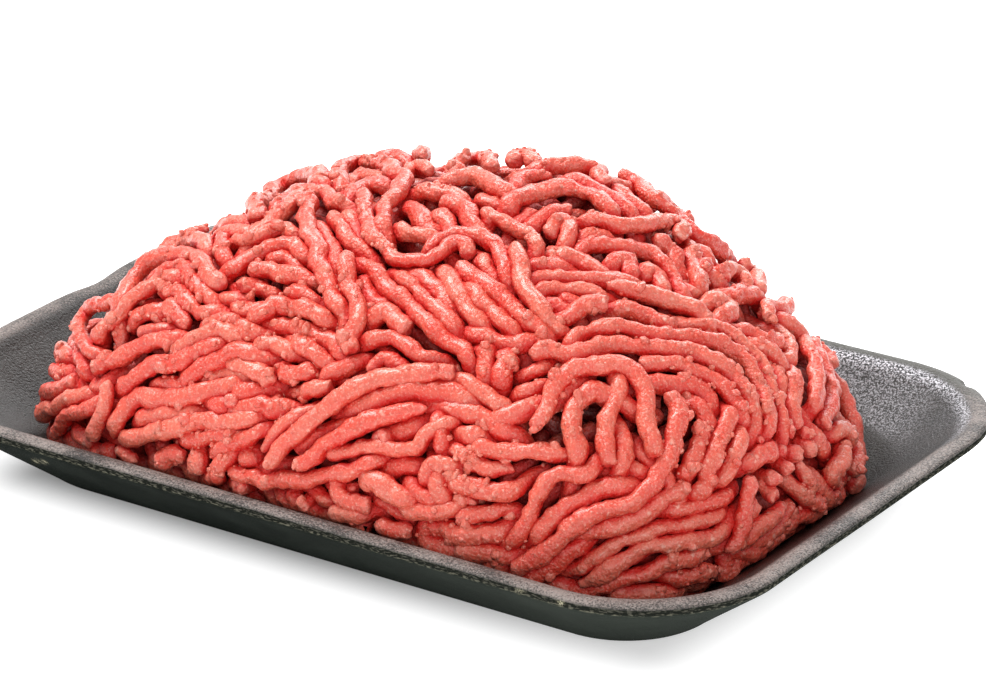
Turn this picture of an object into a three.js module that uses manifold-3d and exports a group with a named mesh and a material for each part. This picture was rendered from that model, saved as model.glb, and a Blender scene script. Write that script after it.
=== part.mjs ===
// A heap of minced meat on a black foam tray.
// Millimetres, +Z up. The origin is the middle of the tray's footprint, on the surface that it stands on.
// The tray is 210 x 143 x 22: X runs along its long side, and the heap's front faces -Y.
import * as THREE from "three";
import { mergeVertices } from "three/addons/utils/BufferGeometryUtils.js";
import Module from "manifold-3d";

const wasm = await Module();
wasm.setup();

// Foam tray
const tray = {
  length: 210,
  width: 143,
  height: 22,
  cornerRadius: 31.5, // at the outer edge of the rim
  cornerTaper: 0.54, // how much the corner radius shrinks for each millimetre inwards
  floor: 3.6, // height of the inner floor
  baseInset: 28, // from the rim's edge in to where the underside is flat
  footWidth: 8, // of the flat ring that the tray stands on
  panelRise: 0.8, // of the underside inside that ring
  panelSlope: 2, // width of the step up to the panel
  footRound: { width: 6.5, height: 2.6 }, // of the outer bend from foot to wall
  floorRound: { width: 9, height: 4.2 }, // of the inner bend from wall to floor
  undercut: 1.3, // inset of the wall just under the cut edge
  edge: 1.9, // height of the cut edge of the foam sheet
  edgeRound: 0.6, // from the cut edge up to the top of the rim
  crest: 2.4, // inset of the highest line of the rim
  lip: 5.6, // width of the rounded top of the rim
  lipRound: { width: 1.6, height: 2.6 }, // of the inner bend from rim to wall
  cornerSteps: 9,
  curveSteps: 4,
};

// Minced meat
const strandDiameter = 5.2; // after a mincer plate with 5 mm holes
const strandRadius = strandDiameter / 2;
const heap = {
  middle: 16, // height that bearings and rises are taken from
  right: 91,
  left: 93,
  near: 64.5,
  far: 60,
  top: 52, // above the middle
  planPower: 2.66, // 2 is an ellipse in plan, more is squarer
  risePower: 2.07,
  coreDepth: 3.5, // of the core's skin under the outline that the strands reach
  lowest: -15, // rise of the core's lowest ring, before the tray trims it
  bearings: 30,
  rises: 9,
};
// Swellings and hollows of the outline: bearing, rise, spread in degrees, and share of the reach.
const swellings = [
  { bearing: 40, rise: 59, spread: 20, share: 0.115 },
  { bearing: 25, rise: 32, spread: 16, share: -0.075 },
  { bearing: 179, rise: 15, spread: 18, share: -0.1 },
  { bearing: 189, rise: 28, spread: 14, share: -0.055 },
  { bearing: 162, rise: 48, spread: 16, share: -0.03 },
];

// Runs of strands that lie side by side, each an arc from one place on the heap to another.
// A place is a bearing round the heap (-90 is the front) and a rise above its middle, in degrees.
// bow is the arc's height over its chord, to the left of its way. lift is how far it lies above the rest.
const runs = [
  // front, right of the middle
  { from: [-47, 21], to: [-24, 15], bow: 0.46, strands: 2, lift: 1.4 },
  { from: [-38, 16], to: [-32, 14], bow: 1.7, strands: 1, lift: 1.0 },
  { from: [-38, 33], to: [-5, 12], bow: 0.27, strands: 4, lift: 0.6 },
  { from: [-27, 25], to: [-10, 14], bow: 0.25, strands: 1, lift: 0.4 },
  { from: [-35, 9], to: [-21, 23], bow: -0.12, strands: 1, lift: 2.2 },
  { from: [-46, 3], to: [-29, 12], bow: 0.1, strands: 3, lift: 0.6 },
  { from: [-41, -2], to: [-21, 6], bow: 0.08, strands: 3, lift: 0.4 },
  { from: [-34, -5], to: [-25, -4], bow: 0.1, strands: 1, lift: 0 },
  { from: [-21, 19], to: [-22, 10], bow: 0.08, strands: 1, lift: 1.2 },
  { from: [-15, 20], to: [-21, 8], bow: -0.06, strands: 1, lift: 1.2 },
  { from: [-13, 13], to: [-18, 1], bow: 0.06, strands: 1, lift: 2.6 },
  { from: [-10, 8], to: [-17, -1], bow: 0.1, strands: 1, lift: 0.6 },
  // right end
  { from: [2, 0], to: [7, 9], bow: 0.1, strands: 2, lift: 0.8 },
  { from: [9, 24], to: [5, 8], bow: -0.1, strands: 3, lift: 0.6 },
  { from: [17, 20], to: [11, 3], bow: -0.12, strands: 3, lift: 0 },
  { from: [-12, 44], to: [1, 27], bow: 0.05, strands: 2, lift: 1.2 },
  { from: [6, -6], to: [11, 12], bow: 0.1, strands: 2, lift: 2.6 },
  { from: [31, 48], to: [21, 30], bow: 0.06, strands: 2, lift: 0.6 },
  { from: [42, 51], to: [34, 37], bow: 0.06, strands: 2, lift: 2.0 },
  { from: [25, 27], to: [18, 24], bow: 0.1, strands: 1, lift: 3.0 },
  { from: [8, 46], to: [13, 31], bow: -0.05, strands: 2, lift: 0.8 },
  // crown
  { from: [-36, 49], to: [-9, 46], bow: 0.15, strands: 3, lift: 0.4 },
  { from: [-60, 77], to: [2, 57], bow: 0.22, strands: 3, lift: 0.6 },
  { from: [56, 66], to: [34, 52], bow: 0.1, strands: 2, lift: 1.2 },
  { from: [112, 76], to: [44, 69], bow: 0.12, strands: 2, lift: 2.4 },
  { from: [-132, 66], to: [-76, 57], bow: -0.32, strands: 2, lift: 1.2 },
  { from: [-66, 60], to: [-44, 41], bow: 0.05, strands: 3, lift: 0.6 },
  { from: [-36, 60], to: [-34, 41], bow: -0.1, strands: 1, lift: 1.8 },
  { from: [-172, 58], to: [150, 66], bow: 0.22, strands: 2, lift: 2.2 },
  // front, left of the middle
  { from: [-112, 56], to: [-66, 41], bow: 0.08, strands: 3, lift: 0.4 },
  { from: [-93, 43], to: [-62, 34], bow: 0.08, strands: 3, lift: 0.2 },
  { from: [-94, 48], to: [-85, 30], bow: 0.2, strands: 1, lift: 2.6 },
  { from: [-52, 39], to: [-33, 36], bow: -0.1, strands: 1, lift: 1.2 },
  { from: [-92, 17], to: [-47, 19], bow: 0.22, strands: 3, lift: 1.2 },
  { from: [-86, 13], to: [-60, 24], bow: 0.08, strands: 2, lift: 0.6 },
  { from: [-52, 20], to: [-38, 18], bow: -0.06, strands: 1, lift: 1.6 },
  { from: [-46, 3], to: [-38, 17], bow: 0.12, strands: 1, lift: 1.8 },
  { from: [-97, 9], to: [-62, 17], bow: -0.12, strands: 1, lift: 1.4 },
  { from: [-59, 6], to: [-56, 17], bow: 0.1, strands: 1, lift: 1.4 },
  { from: [-57, 12], to: [-47, 11], bow: 0.1, strands: 2, lift: 0.8 },
  { from: [-55, 5], to: [-46, 1], bow: 0.2, strands: 2, lift: 0.6 },
  // left end
  { from: [-119, 18], to: [-96, 20], bow: 0.25, strands: 2, lift: 1.2 },
  { from: [-128, 8], to: [-103, 18], bow: 0.1, strands: 2, lift: 0.8 },
  { from: [-122, 6], to: [-96, 14], bow: 0.05, strands: 3, lift: 0.6 },
  { from: [-138, 14], to: [-118, 24], bow: 0.06, strands: 2, lift: 0.8 },
  { from: [-130, 13], to: [-129, 3], bow: 0.06, strands: 1, lift: 2.4 },
  { from: [-153, 1], to: [-141, 13], bow: 0.1, strands: 3, lift: 0.4 },
  { from: [-159, -4], to: [-155, 8], bow: 0.1, strands: 2, lift: 2.4 },
  { from: [-148, -5], to: [-139, 2], bow: 0.1, strands: 2, lift: 1.6 },
  { from: [-151, 19], to: [-124, 33], bow: 0.34, strands: 3, lift: 0.8 },
  { from: [-134, 40], to: [-112, 47], bow: 0.15, strands: 3, lift: 0.6 },
  { from: [-120, 33], to: [-94, 36], bow: 0.14, strands: 3, lift: 0.6 },
  { from: [-162, 34], to: [-148, 40], bow: 0.2, strands: 2, lift: 2.6 },
  { from: [-174, 40], to: [-148, 56], bow: 0.2, strands: 2, lift: 1.0 },
];
const tube = {
  sides: 5,
  turn: 42, // bend in degrees that one length of a strand takes at most
  longest: 20, // of one straight length
};
const fill = {
  seeds: 420,
  most: 62, // strands that the filling adds
  lowest: -3,
  shortest: 17,
  longest: 42,
  abreast: 3,
  clear: 1.7, // gap between middles, in strand diameters
};
const clearance = 0.35; // between the meat and the tray
const detail = 0.7; // steps of the fused heap smaller than this are left out

// A small generator of even random numbers, so that every build is the same.
let seed = 4177;
const random = () => {
  seed = (seed * 16807) % 2147483647;
  return seed / 2147483647;
};
const between = (low, high) => low + (high - low) * random();
// The i-th number of an even spread over 0 to 1.
const spread = (i, base) => {
  let share = 1;
  let value = 0;
  for (let n = i; n > 0; n = Math.floor(n / base)) {
    share /= base;
    value += share * (n % base);
  }
  return value;
};

const radians = THREE.MathUtils.degToRad;
const point = (x, y, z) => new THREE.Vector3(x, y, z);

// Closed geometry to a solid, and back
function solidOf(geometry) {
  const bare = geometry.clone();
  bare.deleteAttribute("normal");
  bare.deleteAttribute("uv");
  const merged = mergeVertices(bare, 1e-4);
  return new wasm.Manifold(
    new wasm.Mesh({
      numProp: 3,
      vertProperties: merged.attributes.position.array,
      triVerts: new Uint32Array(merged.index.array),
    }),
  );
}

function geometryOf(solid) {
  const made = solid.getMesh();
  const geometry = new THREE.BufferGeometry();
  geometry.setAttribute("position", new THREE.BufferAttribute(new Float32Array(made.vertProperties), 3));
  geometry.setIndex(new THREE.BufferAttribute(new Uint32Array(made.triVerts), 1));
  geometry.computeVertexNormals();
  return geometry;
}

// Joins rings of points, bottom to top on the outside, and closes both ends with a fan.
function loft(rings) {
  const count = rings[0].length;
  const positions = rings.flat().flatMap((p) => [p.x, p.y, p.z]);
  const triangles = [];
  for (let j = 0; j < rings.length - 1; j++) {
    for (let i = 0; i < count; i++) {
      const next = (i + 1) % count;
      const [a, b, c, d] = [j * count + i, j * count + next, (j + 1) * count + next, (j + 1) * count + i];
      triangles.push(a, b, c, a, c, d);
    }
  }
  for (const [ring, start, turn] of [
    [rings[0], 0, -1],
    [rings.at(-1), (rings.length - 1) * count, 1],
  ]) {
    const centre = positions.length / 3;
    const middle = ring.reduce((sum, p) => sum.add(p), point(0, 0, 0)).divideScalar(count);
    positions.push(middle.x, middle.y, middle.z);
    for (let i = 0; i < count; i++) {
      const next = (i + 1) % count;
      triangles.push(...(turn > 0 ? [start + i, start + next, centre] : [start + next, start + i, centre]));
    }
  }
  const geometry = new THREE.BufferGeometry();
  geometry.setAttribute("position", new THREE.Float32BufferAttribute(positions, 3));
  geometry.setIndex(triangles);
  geometry.computeVertexNormals();
  return geometry;
}

// Tray

// The tray's section from the rim's edge (inset 0) inwards, as two paths of inset and height.
const edgeTop = tray.height - tray.edgeRound;
const edgeBottom = edgeTop - tray.edge;
const underside = new THREE.Path()
  .moveTo(tray.baseInset + tray.footWidth + tray.panelSlope, tray.panelRise)
  .lineTo(tray.baseInset + tray.footWidth, 0)
  .lineTo(tray.baseInset, 0);
const wallFoot = tray.baseInset - tray.footRound.width;
underside.quadraticCurveTo(wallFoot + tray.footRound.height, 0, wallFoot, tray.footRound.height);
underside.lineTo(tray.undercut, edgeBottom - tray.undercut);
underside.lineTo(0, edgeBottom);
underside.lineTo(0.2, edgeTop);

const inside = new THREE.Path().moveTo(0.2, edgeTop);
const wallTop = tray.lip + tray.lipRound.width;
const wallEnd = tray.baseInset - tray.floorRound.width / 2;
const floorStart = tray.baseInset + tray.floorRound.width / 2;
inside.quadraticCurveTo(tray.crest / 2, tray.height, tray.crest, tray.height);
inside.quadraticCurveTo(tray.lip - 1, tray.height, wallTop, tray.height - tray.lipRound.height);
inside.lineTo(wallEnd, tray.floor + tray.floorRound.height);
inside.quadraticCurveTo(tray.baseInset - 0.5, tray.floor, floorStart, tray.floor);

const undersideSection = underside.getPoints(tray.curveSteps);
const insideSection = inside.getPoints(tray.curveSteps);

// One ring of the tray: a rounded rectangle, inset from the rim's edge, at one height.
function trayRing(inset, height) {
  const corner = tray.cornerRadius - tray.cornerTaper * inset;
  const ring = [];
  for (let quarter = 0; quarter < 4; quarter++) {
    const centreX = (tray.length / 2 - inset - corner) * (quarter === 0 || quarter === 3 ? 1 : -1);
    const centreY = (tray.width / 2 - inset - corner) * (quarter < 2 ? 1 : -1);
    for (let step = 0; step <= tray.cornerSteps; step++) {
      const turn = ((quarter + step / tray.cornerSteps) * Math.PI) / 2;
      ring.push(point(centreX + corner * Math.cos(turn), centreY + corner * Math.sin(turn), height));
    }
  }
  return ring;
}

function makeTray() {
  const section = [...undersideSection, ...insideSection.slice(1)];
  return loft(section.map((p) => trayRing(p.x, p.y)));
}

// How far in from the rim's edge a place is: the inset whose rounded rectangle runs through it.
function insetAt(x, y) {
  const keep = 1 - tray.cornerTaper;
  const overX = Math.abs(x) - tray.length / 2 + tray.cornerRadius;
  const overY = Math.abs(y) - tray.width / 2 + tray.cornerRadius;
  const straight = Math.min(tray.length / 2 - Math.abs(x), tray.width / 2 - Math.abs(y));
  if (Math.min(overX, overY) + keep * straight <= 0) return straight;
  const a = 2 * keep ** 2 - tray.cornerTaper ** 2;
  const b = keep * (overX + overY) + tray.cornerRadius * tray.cornerTaper;
  const c = overX ** 2 + overY ** 2 - tray.cornerRadius ** 2;
  return Math.abs(a) < 1e-9 ? -c / (2 * b) : (-b + Math.sqrt(Math.max(0, b * b - a * c))) / a;
}

// Height of the tray's inner surface at a place.
function trayTop(x, y) {
  const inset = insetAt(x, y);
  const crest = insideSection.findIndex((p) => p.x > tray.crest - 0.1);
  for (let i = crest; i < insideSection.length - 1; i++) {
    const [a, b] = [insideSection[i], insideSection[i + 1]];
    if (inset < b.x) return a.y + (b.y - a.y) * Math.max(0, (inset - a.x) / (b.x - a.x));
  }
  return tray.floor;
}

// Heap outline

function direction(bearing, rise) {
  const [b, r] = [radians(bearing), radians(rise)];
  return point(Math.cos(r) * Math.cos(b), Math.cos(r) * Math.sin(b), Math.sin(r));
}

// How far the heap reaches from its middle in one direction: a rounded dome, swelled here and there.
function reach(way) {
  const along = Math.abs(way.x) / (way.x > 0 ? heap.right : heap.left);
  const across = Math.abs(way.y) / (way.y > 0 ? heap.far : heap.near);
  const plan = (along ** heap.planPower + across ** heap.planPower) ** (heap.risePower / heap.planPower);
  let size = (plan + (Math.abs(way.z) / heap.top) ** heap.risePower) ** (-1 / heap.risePower);
  for (const s of swellings) {
    const off = THREE.MathUtils.radToDeg(way.angleTo(direction(s.bearing, s.rise)));
    size *= 1 + s.share * Math.exp(-0.5 * (off / s.spread) ** 2);
  }
  return size;
}

const heapMiddle = point(0, 0, heap.middle);

// The place on the outline, or below it by depth, that lies in line with p from the heap's middle.
function ontoHeap(p, depth = 0) {
  const way = p.clone().sub(heapMiddle).normalize();
  return way.clone().multiplyScalar(reach(way) - depth).add(heapMiddle);
}

const placeOf = ([bearing, rise]) => ontoHeap(direction(bearing, rise).add(heapMiddle));
const outwards = (p) => p.clone().sub(heapMiddle).normalize();

// Keeps the middle of a strand clear of the tray.
function keepInTray(p) {
  const slopeRoom = 1.3;
  const lowest = trayTop(p.x, p.y) + strandRadius * slopeRoom + clearance;
  return point(p.x, p.y, Math.max(p.z, lowest));
}

// Strands

// Points of an arc between two places, bowed to the left of its way.
function arcPoints(start, end, bow, count) {
  const chord = end.clone().sub(start);
  const out = outwards(start.clone().add(end).multiplyScalar(0.5));
  const left = out.clone().cross(chord).normalize().multiplyScalar(chord.length());
  const points = [];
  const half = 2 * Math.atan(2 * Math.min(Math.abs(bow), 0.5));
  for (let i = 0; i <= count; i++) {
    const turn = half * (1 - (2 * i) / count);
    const along = half > 1e-6 ? 0.5 - Math.sin(turn) / Math.sin(half) / 2 : i / count;
    const rise = half > 1e-6 ? (Math.cos(turn) - Math.cos(half)) / (1 - Math.cos(half)) : 0;
    points.push(start.clone().addScaledVector(chord, along).addScaledVector(left, bow * rise));
  }
  return points;
}

// A line of points moved sideways over the heap, and laid on its outline.
function beside(points, sideways, depth) {
  return points.map((p, i) => {
    const ahead = points[Math.min(i + 1, points.length - 1)].clone().sub(points[Math.max(i - 1, 0)]);
    const left = outwards(p).cross(ahead).normalize();
    return keepInTray(ontoHeap(p.clone().addScaledVector(left, sideways), depth));
  });
}

// The middles of all the strands of one run.
function runLines(run) {
  const arc = arcPoints(placeOf(run.from), placeOf(run.to), run.bow, 24).map((p) => ontoHeap(p));
  const lines = [];
  for (let k = 0; k < run.strands; k++) {
    const sideways = (k - (run.strands - 1) / 2) * strandDiameter * 1.08;
    const [first, last] = [Math.floor(between(0, 3.5)), Math.ceil(between(20.5, 24))];
    lines.push(beside(arc.slice(first, last + 1), sideways, strandRadius - run.lift));
  }
  return lines;
}

// Walks over the heap from a place, turning evenly, until the way is blocked.
function walk(start, heading, bend, length, blocked) {
  const step = 2;
  const line = [start];
  let ahead = heading.clone();
  for (let gone = 0; gone < length; gone += step) {
    const here = line.at(-1);
    const out = outwards(here);
    ahead.addScaledVector(out, -ahead.dot(out)).normalize();
    ahead.applyAxisAngle(out, radians((bend * step) / length));
    const next = ontoHeap(here.clone().addScaledVector(ahead, step));
    if (blocked(next) || next.z < heap.middle + fill.lowest) break;
    line.push(next);
  }
  return line;
}

// Strands that fill the bare places left between the runs, a few abreast, evenly over the heap.
function fillLines(laid) {
  const taken = laid.flat().map((p) => ontoHeap(p));
  const clear = fill.clear * strandDiameter;
  const lines = [];
  for (let i = 1; i <= fill.seeds && lines.length < fill.most; i++) {
    const bearing = 360 * spread(i, 2) - 180;
    const rise = THREE.MathUtils.radToDeg(Math.asin(spread(i, 3)));
    const lie = 55 * Math.sin(radians(3 * bearing)) + 60 * Math.sin(radians(5 * rise + bearing)) + between(-25, 25);
    const bend = between(-70, 70);
    const first = ontoHeap(direction(bearing, rise).add(heapMiddle));
    const out = outwards(first);
    const level = point(-out.y, out.x, 0).normalize();
    const heading = level.applyAxisAngle(out, radians(lie));
    const side = out.clone().cross(heading).normalize();
    for (let k = 0; k < fill.abreast; k++) {
      const start = ontoHeap(first.clone().addScaledVector(side, k * strandDiameter * 1.1));
      const others = taken.slice();
      const blocked = (p) => others.some((q) => q.distanceTo(p) < clear);
      if (blocked(start) && k === 0) break;
      const near = (p) => taken.some((q) => q.distanceTo(p) < strandDiameter * 0.95);
      if (near(start)) break;
      const line = walk(start, heading, bend, between(fill.shortest, fill.longest), k === 0 ? blocked : near);
      if ((line.length - 1) * 2 < fill.shortest * 0.6) break;
      taken.push(...line);
      lines.push(line);
    }
  }
  return lines.map((line) => beside(line, 0, strandRadius - between(-0.6, 1.0)));
}

function strandSolid(line) {
  const curve = new THREE.CatmullRomCurve3(line);
  const section = new THREE.Shape();
  for (let i = 0; i < tube.sides; i++) {
    const turn = (2 * Math.PI * (i + 0.5)) / tube.sides;
    const reachOut = strandRadius * 1.05;
    const [x, y] = [reachOut * Math.cos(turn), reachOut * Math.sin(turn)];
    if (i === 0) section.moveTo(x, y);
    else section.lineTo(x, y);
  }
  let bend = 0;
  for (let i = 2; i < line.length; i++) {
    const [before, after] = [line[i - 1].clone().sub(line[i - 2]), line[i].clone().sub(line[i - 1])];
    bend += THREE.MathUtils.radToDeg(before.angleTo(after));
  }
  const steps = Math.ceil(Math.max(bend / tube.turn, curve.getLength() / tube.longest));
  return solidOf(
    new THREE.ExtrudeGeometry(section, { steps, extrudePath: curve, bevelEnabled: false, curveSegments: 1 }),
  );
}

// Heap

function coreSolid() {
  const rings = [];
  for (let j = 0; j < heap.rises; j++) {
    const rise = heap.lowest + ((88 - heap.lowest) * j) / heap.rises;
    const ring = [];
    for (let i = 0; i < heap.bearings; i++) {
      const way = direction((360 * i) / heap.bearings, rise);
      ring.push(way.clone().multiplyScalar(reach(way) - heap.coreDepth).add(heapMiddle));
    }
    rings.push(ring);
  }
  return solidOf(loft(rings));
}

// The room inside the tray and above it, which the meat is trimmed to.
function roomSolid() {
  const crest = insideSection.findIndex((p) => p.x > tray.crest - 0.1);
  const wall = insideSection.slice(crest).reverse();
  const rings = wall.map((p) => trayRing(p.x + clearance, p.y + clearance));
  rings.push(trayRing(wall.at(-1).x + clearance, 150));
  return solidOf(loft(rings));
}

function makeHeap() {
  const laid = runs.flatMap(runLines);
  const filled = fillLines(laid);
  const strands = [...laid, ...filled].map(strandSolid);
  const joined = wasm.Manifold.union([coreSolid(), ...strands]).simplify(detail);
  const trimmed = joined.intersect(roomSolid()).simplify(detail / 4);
  const pieces = trimmed.decompose().sort((a, b) => b.volume() - a.volume());
  console.log(laid.length + " strands in runs, " + filled.length + " in the filling");
  console.log("heap volume " + Math.round(pieces[0].volume()) + " mm3, " + pieces[0].numTri() + " triangles");
  return geometryOf(pieces[0]);
}

function piece(name, geometry, look) {
  const mesh = new THREE.Mesh(geometry, new THREE.MeshStandardMaterial(look));
  mesh.name = name;
  return mesh;
}

const pack = new THREE.Group();
pack.name = "mince_tray_pack";
pack.add(piece("foam_tray", makeTray(), { color: 0x1b1d1c, roughness: 0.55, metalness: 0 }));
pack.add(piece("mince_heap", makeHeap(), { color: 0xd9604f, roughness: 0.5, metalness: 0 }));

export default pack;
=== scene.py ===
# Raw minced meat heaped on a black foam tray.
# The frame is in metres with +Z up. Shapes are worked out in millimetres and scaled as they become meshes.
import math

import bpy
import numpy as np
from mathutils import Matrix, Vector


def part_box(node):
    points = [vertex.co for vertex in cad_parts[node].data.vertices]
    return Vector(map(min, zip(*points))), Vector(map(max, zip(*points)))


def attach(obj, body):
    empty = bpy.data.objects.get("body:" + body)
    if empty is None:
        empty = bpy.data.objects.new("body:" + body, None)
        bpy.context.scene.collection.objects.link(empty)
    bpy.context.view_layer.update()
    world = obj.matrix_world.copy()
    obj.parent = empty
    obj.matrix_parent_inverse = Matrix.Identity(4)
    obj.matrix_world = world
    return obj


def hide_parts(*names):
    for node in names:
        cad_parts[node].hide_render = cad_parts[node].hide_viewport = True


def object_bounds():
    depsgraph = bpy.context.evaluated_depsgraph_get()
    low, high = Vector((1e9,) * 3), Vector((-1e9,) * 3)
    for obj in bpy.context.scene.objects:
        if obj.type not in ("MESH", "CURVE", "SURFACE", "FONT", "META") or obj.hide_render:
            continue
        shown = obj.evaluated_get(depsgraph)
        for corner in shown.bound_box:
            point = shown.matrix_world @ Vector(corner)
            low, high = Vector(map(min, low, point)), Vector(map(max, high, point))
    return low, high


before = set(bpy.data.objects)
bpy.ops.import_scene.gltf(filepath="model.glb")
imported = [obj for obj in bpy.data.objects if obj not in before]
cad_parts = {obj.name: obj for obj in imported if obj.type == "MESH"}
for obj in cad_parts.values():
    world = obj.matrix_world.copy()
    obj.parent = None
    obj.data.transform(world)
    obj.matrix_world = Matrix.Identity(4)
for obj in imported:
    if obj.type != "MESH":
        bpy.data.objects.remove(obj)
cadLow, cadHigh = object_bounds()
trayLow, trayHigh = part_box("foam_tray")
mm = 0.001
dice = np.random.default_rng(31)


# Camera, light and floor

view = {
    "azimuth": 34.0,  # degrees from the front, towards +X
    "elevation": 22.9,
    "distance": 1.1509,
    "target": (-0.0352, 0.0677, 0.0),
    "lens": 182.56,
    "film": 36.0,
    "sight": (900.0, 1350.0),  # how far off the heap lies at the least and the most, in millimetres
}
photo = {"size": (986, 698)}  # pixels


# The camera's backward, right and upward directions, and where it stands, in millimetres
def cameraWays():
    turn, rise = math.radians(view["azimuth"]), math.radians(view["elevation"])
    back = np.array([math.sin(turn) * math.cos(rise), -math.cos(turn) * math.cos(rise), math.sin(rise)])
    right = np.array([math.cos(turn), math.sin(turn), 0])
    eye = (np.array(view["target"]) + view["distance"] * back) / mm
    return back, right, np.cross(back, right), eye


def placeCamera():
    back, _, _, eye = cameraWays()
    lens = bpy.data.cameras.new("camera")
    lens.lens = view["lens"]
    lens.sensor_width = view["film"]
    lens.clip_start = 0.05
    camera = bpy.data.objects.new("camera", lens)
    camera.location = Vector(eye * mm)
    camera.rotation_euler = Vector(back).to_track_quat("Z", "Y").to_euler()
    bpy.context.collection.objects.link(camera)
    bpy.context.scene.camera = camera


studio = {
    "key": {"at": (-0.45, 0.05, 0.85), "size": 0.45, "power": 11.2, "tint": (1.0, 0.985, 0.965)},
    "fill": {"at": (0.75, -0.75, 0.55), "size": 0.9, "power": 4.6, "tint": (1.0, 1.0, 1.0)},
    "back": {"at": (-0.3, 0.95, 0.5), "size": 0.6, "power": 5.0, "tint": (1.0, 1.0, 1.0)},
    "aim": (0, 0, 0.03),
    "sky": 0.66,
    "floor": (0.6, 0.6, 0.605),
    "glow": 0.95,  # of the lit floor, away from the tray's foot
    # Less glow near the tray's foot paints a soft shadow on the floor.
    "glowNear": (0.17, 0.55),  # share of it close to the foot, at the left and at the right
    "glowReach": 0.0178,
}


def lightStudio():
    for name in ("key", "fill", "back"):
        given = studio[name]
        lamp = bpy.data.lights.new(name, "AREA")
        lamp.shape = "DISK"
        lamp.size = given["size"]
        lamp.energy = given["power"]
        lamp.color = given["tint"]
        light = bpy.data.objects.new(name, lamp)
        light.location = given["at"]
        aim = Vector(given["at"]) - Vector(studio["aim"])
        light.rotation_euler = aim.to_track_quat("Z", "Y").to_euler()
        light.visible_camera = False
        bpy.context.collection.objects.link(light)
    world = bpy.data.worlds.new("studio")
    world.use_nodes = True
    sky = world.node_tree.nodes["Background"].inputs
    sky["Color"].default_value = (1, 1, 1, 1)
    sky["Strength"].default_value = studio["sky"]
    bpy.context.scene.world = world
    bpy.context.scene.view_settings.view_transform = "Standard"


# Shader arithmetic

class Value:
    # A shader socket that takes part in sums and products.
    def __init__(self, finish, socket):
        self.finish = finish
        self.socket = socket

    def math(self, operation, *others):
        return self.finish.add("ShaderNodeMath", {"operation": operation}, dict(enumerate((self, *others))))

    def __add__(self, other):
        return self.math("ADD", other)

    def __sub__(self, other):
        return self.math("SUBTRACT", other)

    def __rsub__(self, other):
        return self * -1.0 + other

    def __mul__(self, other):
        return self.math("MULTIPLY", other)

    __radd__ = __add__
    __rmul__ = __mul__

    # 0 below low, 1 above high, and smooth between
    def ramp(self, low, high):
        given = {"Value": self, "From Min": low, "From Max": high}
        return self.finish.add("ShaderNodeMapRange", {"interpolation_type": "SMOOTHSTEP"}, given)


class Finish:
    # A material and its nodes.
    def __init__(self, name):
        self.material = bpy.data.materials.new(name)
        self.material.use_nodes = True
        self.tree = self.material.node_tree
        self.tree.nodes.clear()
        self.place = self.add("ShaderNodeTexCoord", output="Object")

    def add(self, kind, settings=None, inputs=None, output=0):
        node = self.tree.nodes.new(kind)
        for key, setting in (settings or {}).items():
            setattr(node, key, setting)
        for key, given in (inputs or {}).items():
            if isinstance(given, Value):
                self.tree.links.new(given.socket, node.inputs[key])
            else:
                node.inputs[key].default_value = given
        return Value(self, node.outputs[output])

    # Soft noise, 0 to 1, with features of one size in millimetres
    def noise(self, size, detail=2.0, rough=0.5):
        given = {"Vector": self.place, "Scale": 1.0 / (size * mm), "Detail": detail, "Roughness": rough}
        return self.add("ShaderNodeTexNoise", None, given, "Fac")

    # Distance to the middle of the nearest cell, 0 to about 1
    def cells(self, size, softness=0.0):
        settings = {"feature": "SMOOTH_F1" if softness else "F1"}
        given = {"Vector": self.place, "Scale": 1.0 / (size * mm)}
        if softness:
            given["Smoothness"] = softness
        return self.add("ShaderNodeTexVoronoi", settings, given, "Distance")

    def attribute(self, name):
        return self.add("ShaderNodeAttribute", {"attribute_name": name}, None, "Fac")

    def mix(self, share, first, second):
        given = {"Factor": share, 6: first, 7: second}
        return self.add("ShaderNodeMix", {"data_type": "RGBA"}, given, 2)

    def coordinate(self, axis):
        return self.add("ShaderNodeSeparateXYZ", None, {"Vector": self.place}, axis)

    def bump(self, height, depth):
        return self.add("ShaderNodeBump", None, {"Height": height, "Distance": depth * mm, "Strength": 1.0})

    def done(self, sockets):
        shader = self.add("ShaderNodeBsdfPrincipled", None, sockets)
        output = self.tree.nodes.new("ShaderNodeOutputMaterial")
        self.tree.links.new(shader.socket, output.inputs["Surface"])
        return self.material


# sRGB, 0 to 255, as a shader colour
def tint(red, green, blue):
    levels = np.array([red, green, blue]) / 255.0
    linear = np.where(levels <= 0.04045, levels / 12.92, ((levels + 0.055) / 1.055) ** 2.4)
    return (*linear.tolist(), 1.0)


# Meshes from arrays

def unit(vectors):
    return vectors / np.maximum(np.linalg.norm(vectors, axis=-1, keepdims=True), 1e-9)


# Quads of a grid of rows by columns, joined up across the columns
def gridQuads(rows, columns):
    row = np.arange(rows - 1)[:, None]
    column = np.arange(columns)[None, :]
    a = row * columns + column
    b = row * columns + (column + 1) % columns
    return np.stack([a, b, b + columns, a + columns], -1).reshape(-1, 4)


# Such a grid closed by a pole amid its first row and one amid its last: its points with the two poles after
# them, its quads, and the triangles round the poles
def closedGrid(grid):
    rows, columns = grid.shape[:2]
    k = np.arange(columns)
    following = (k + 1) % columns
    base = (rows - 1) * columns
    pole = np.full(columns, rows * columns)
    triangles = np.concatenate([
        np.stack([following, k, pole], -1),
        np.stack([k + base, following + base, pole + 1], -1),
    ])
    points = np.concatenate([grid.reshape(-1, 3), grid[:1].mean(1), grid[-1:].mean(1)])
    return points, gridQuads(rows, columns), triangles


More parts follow.
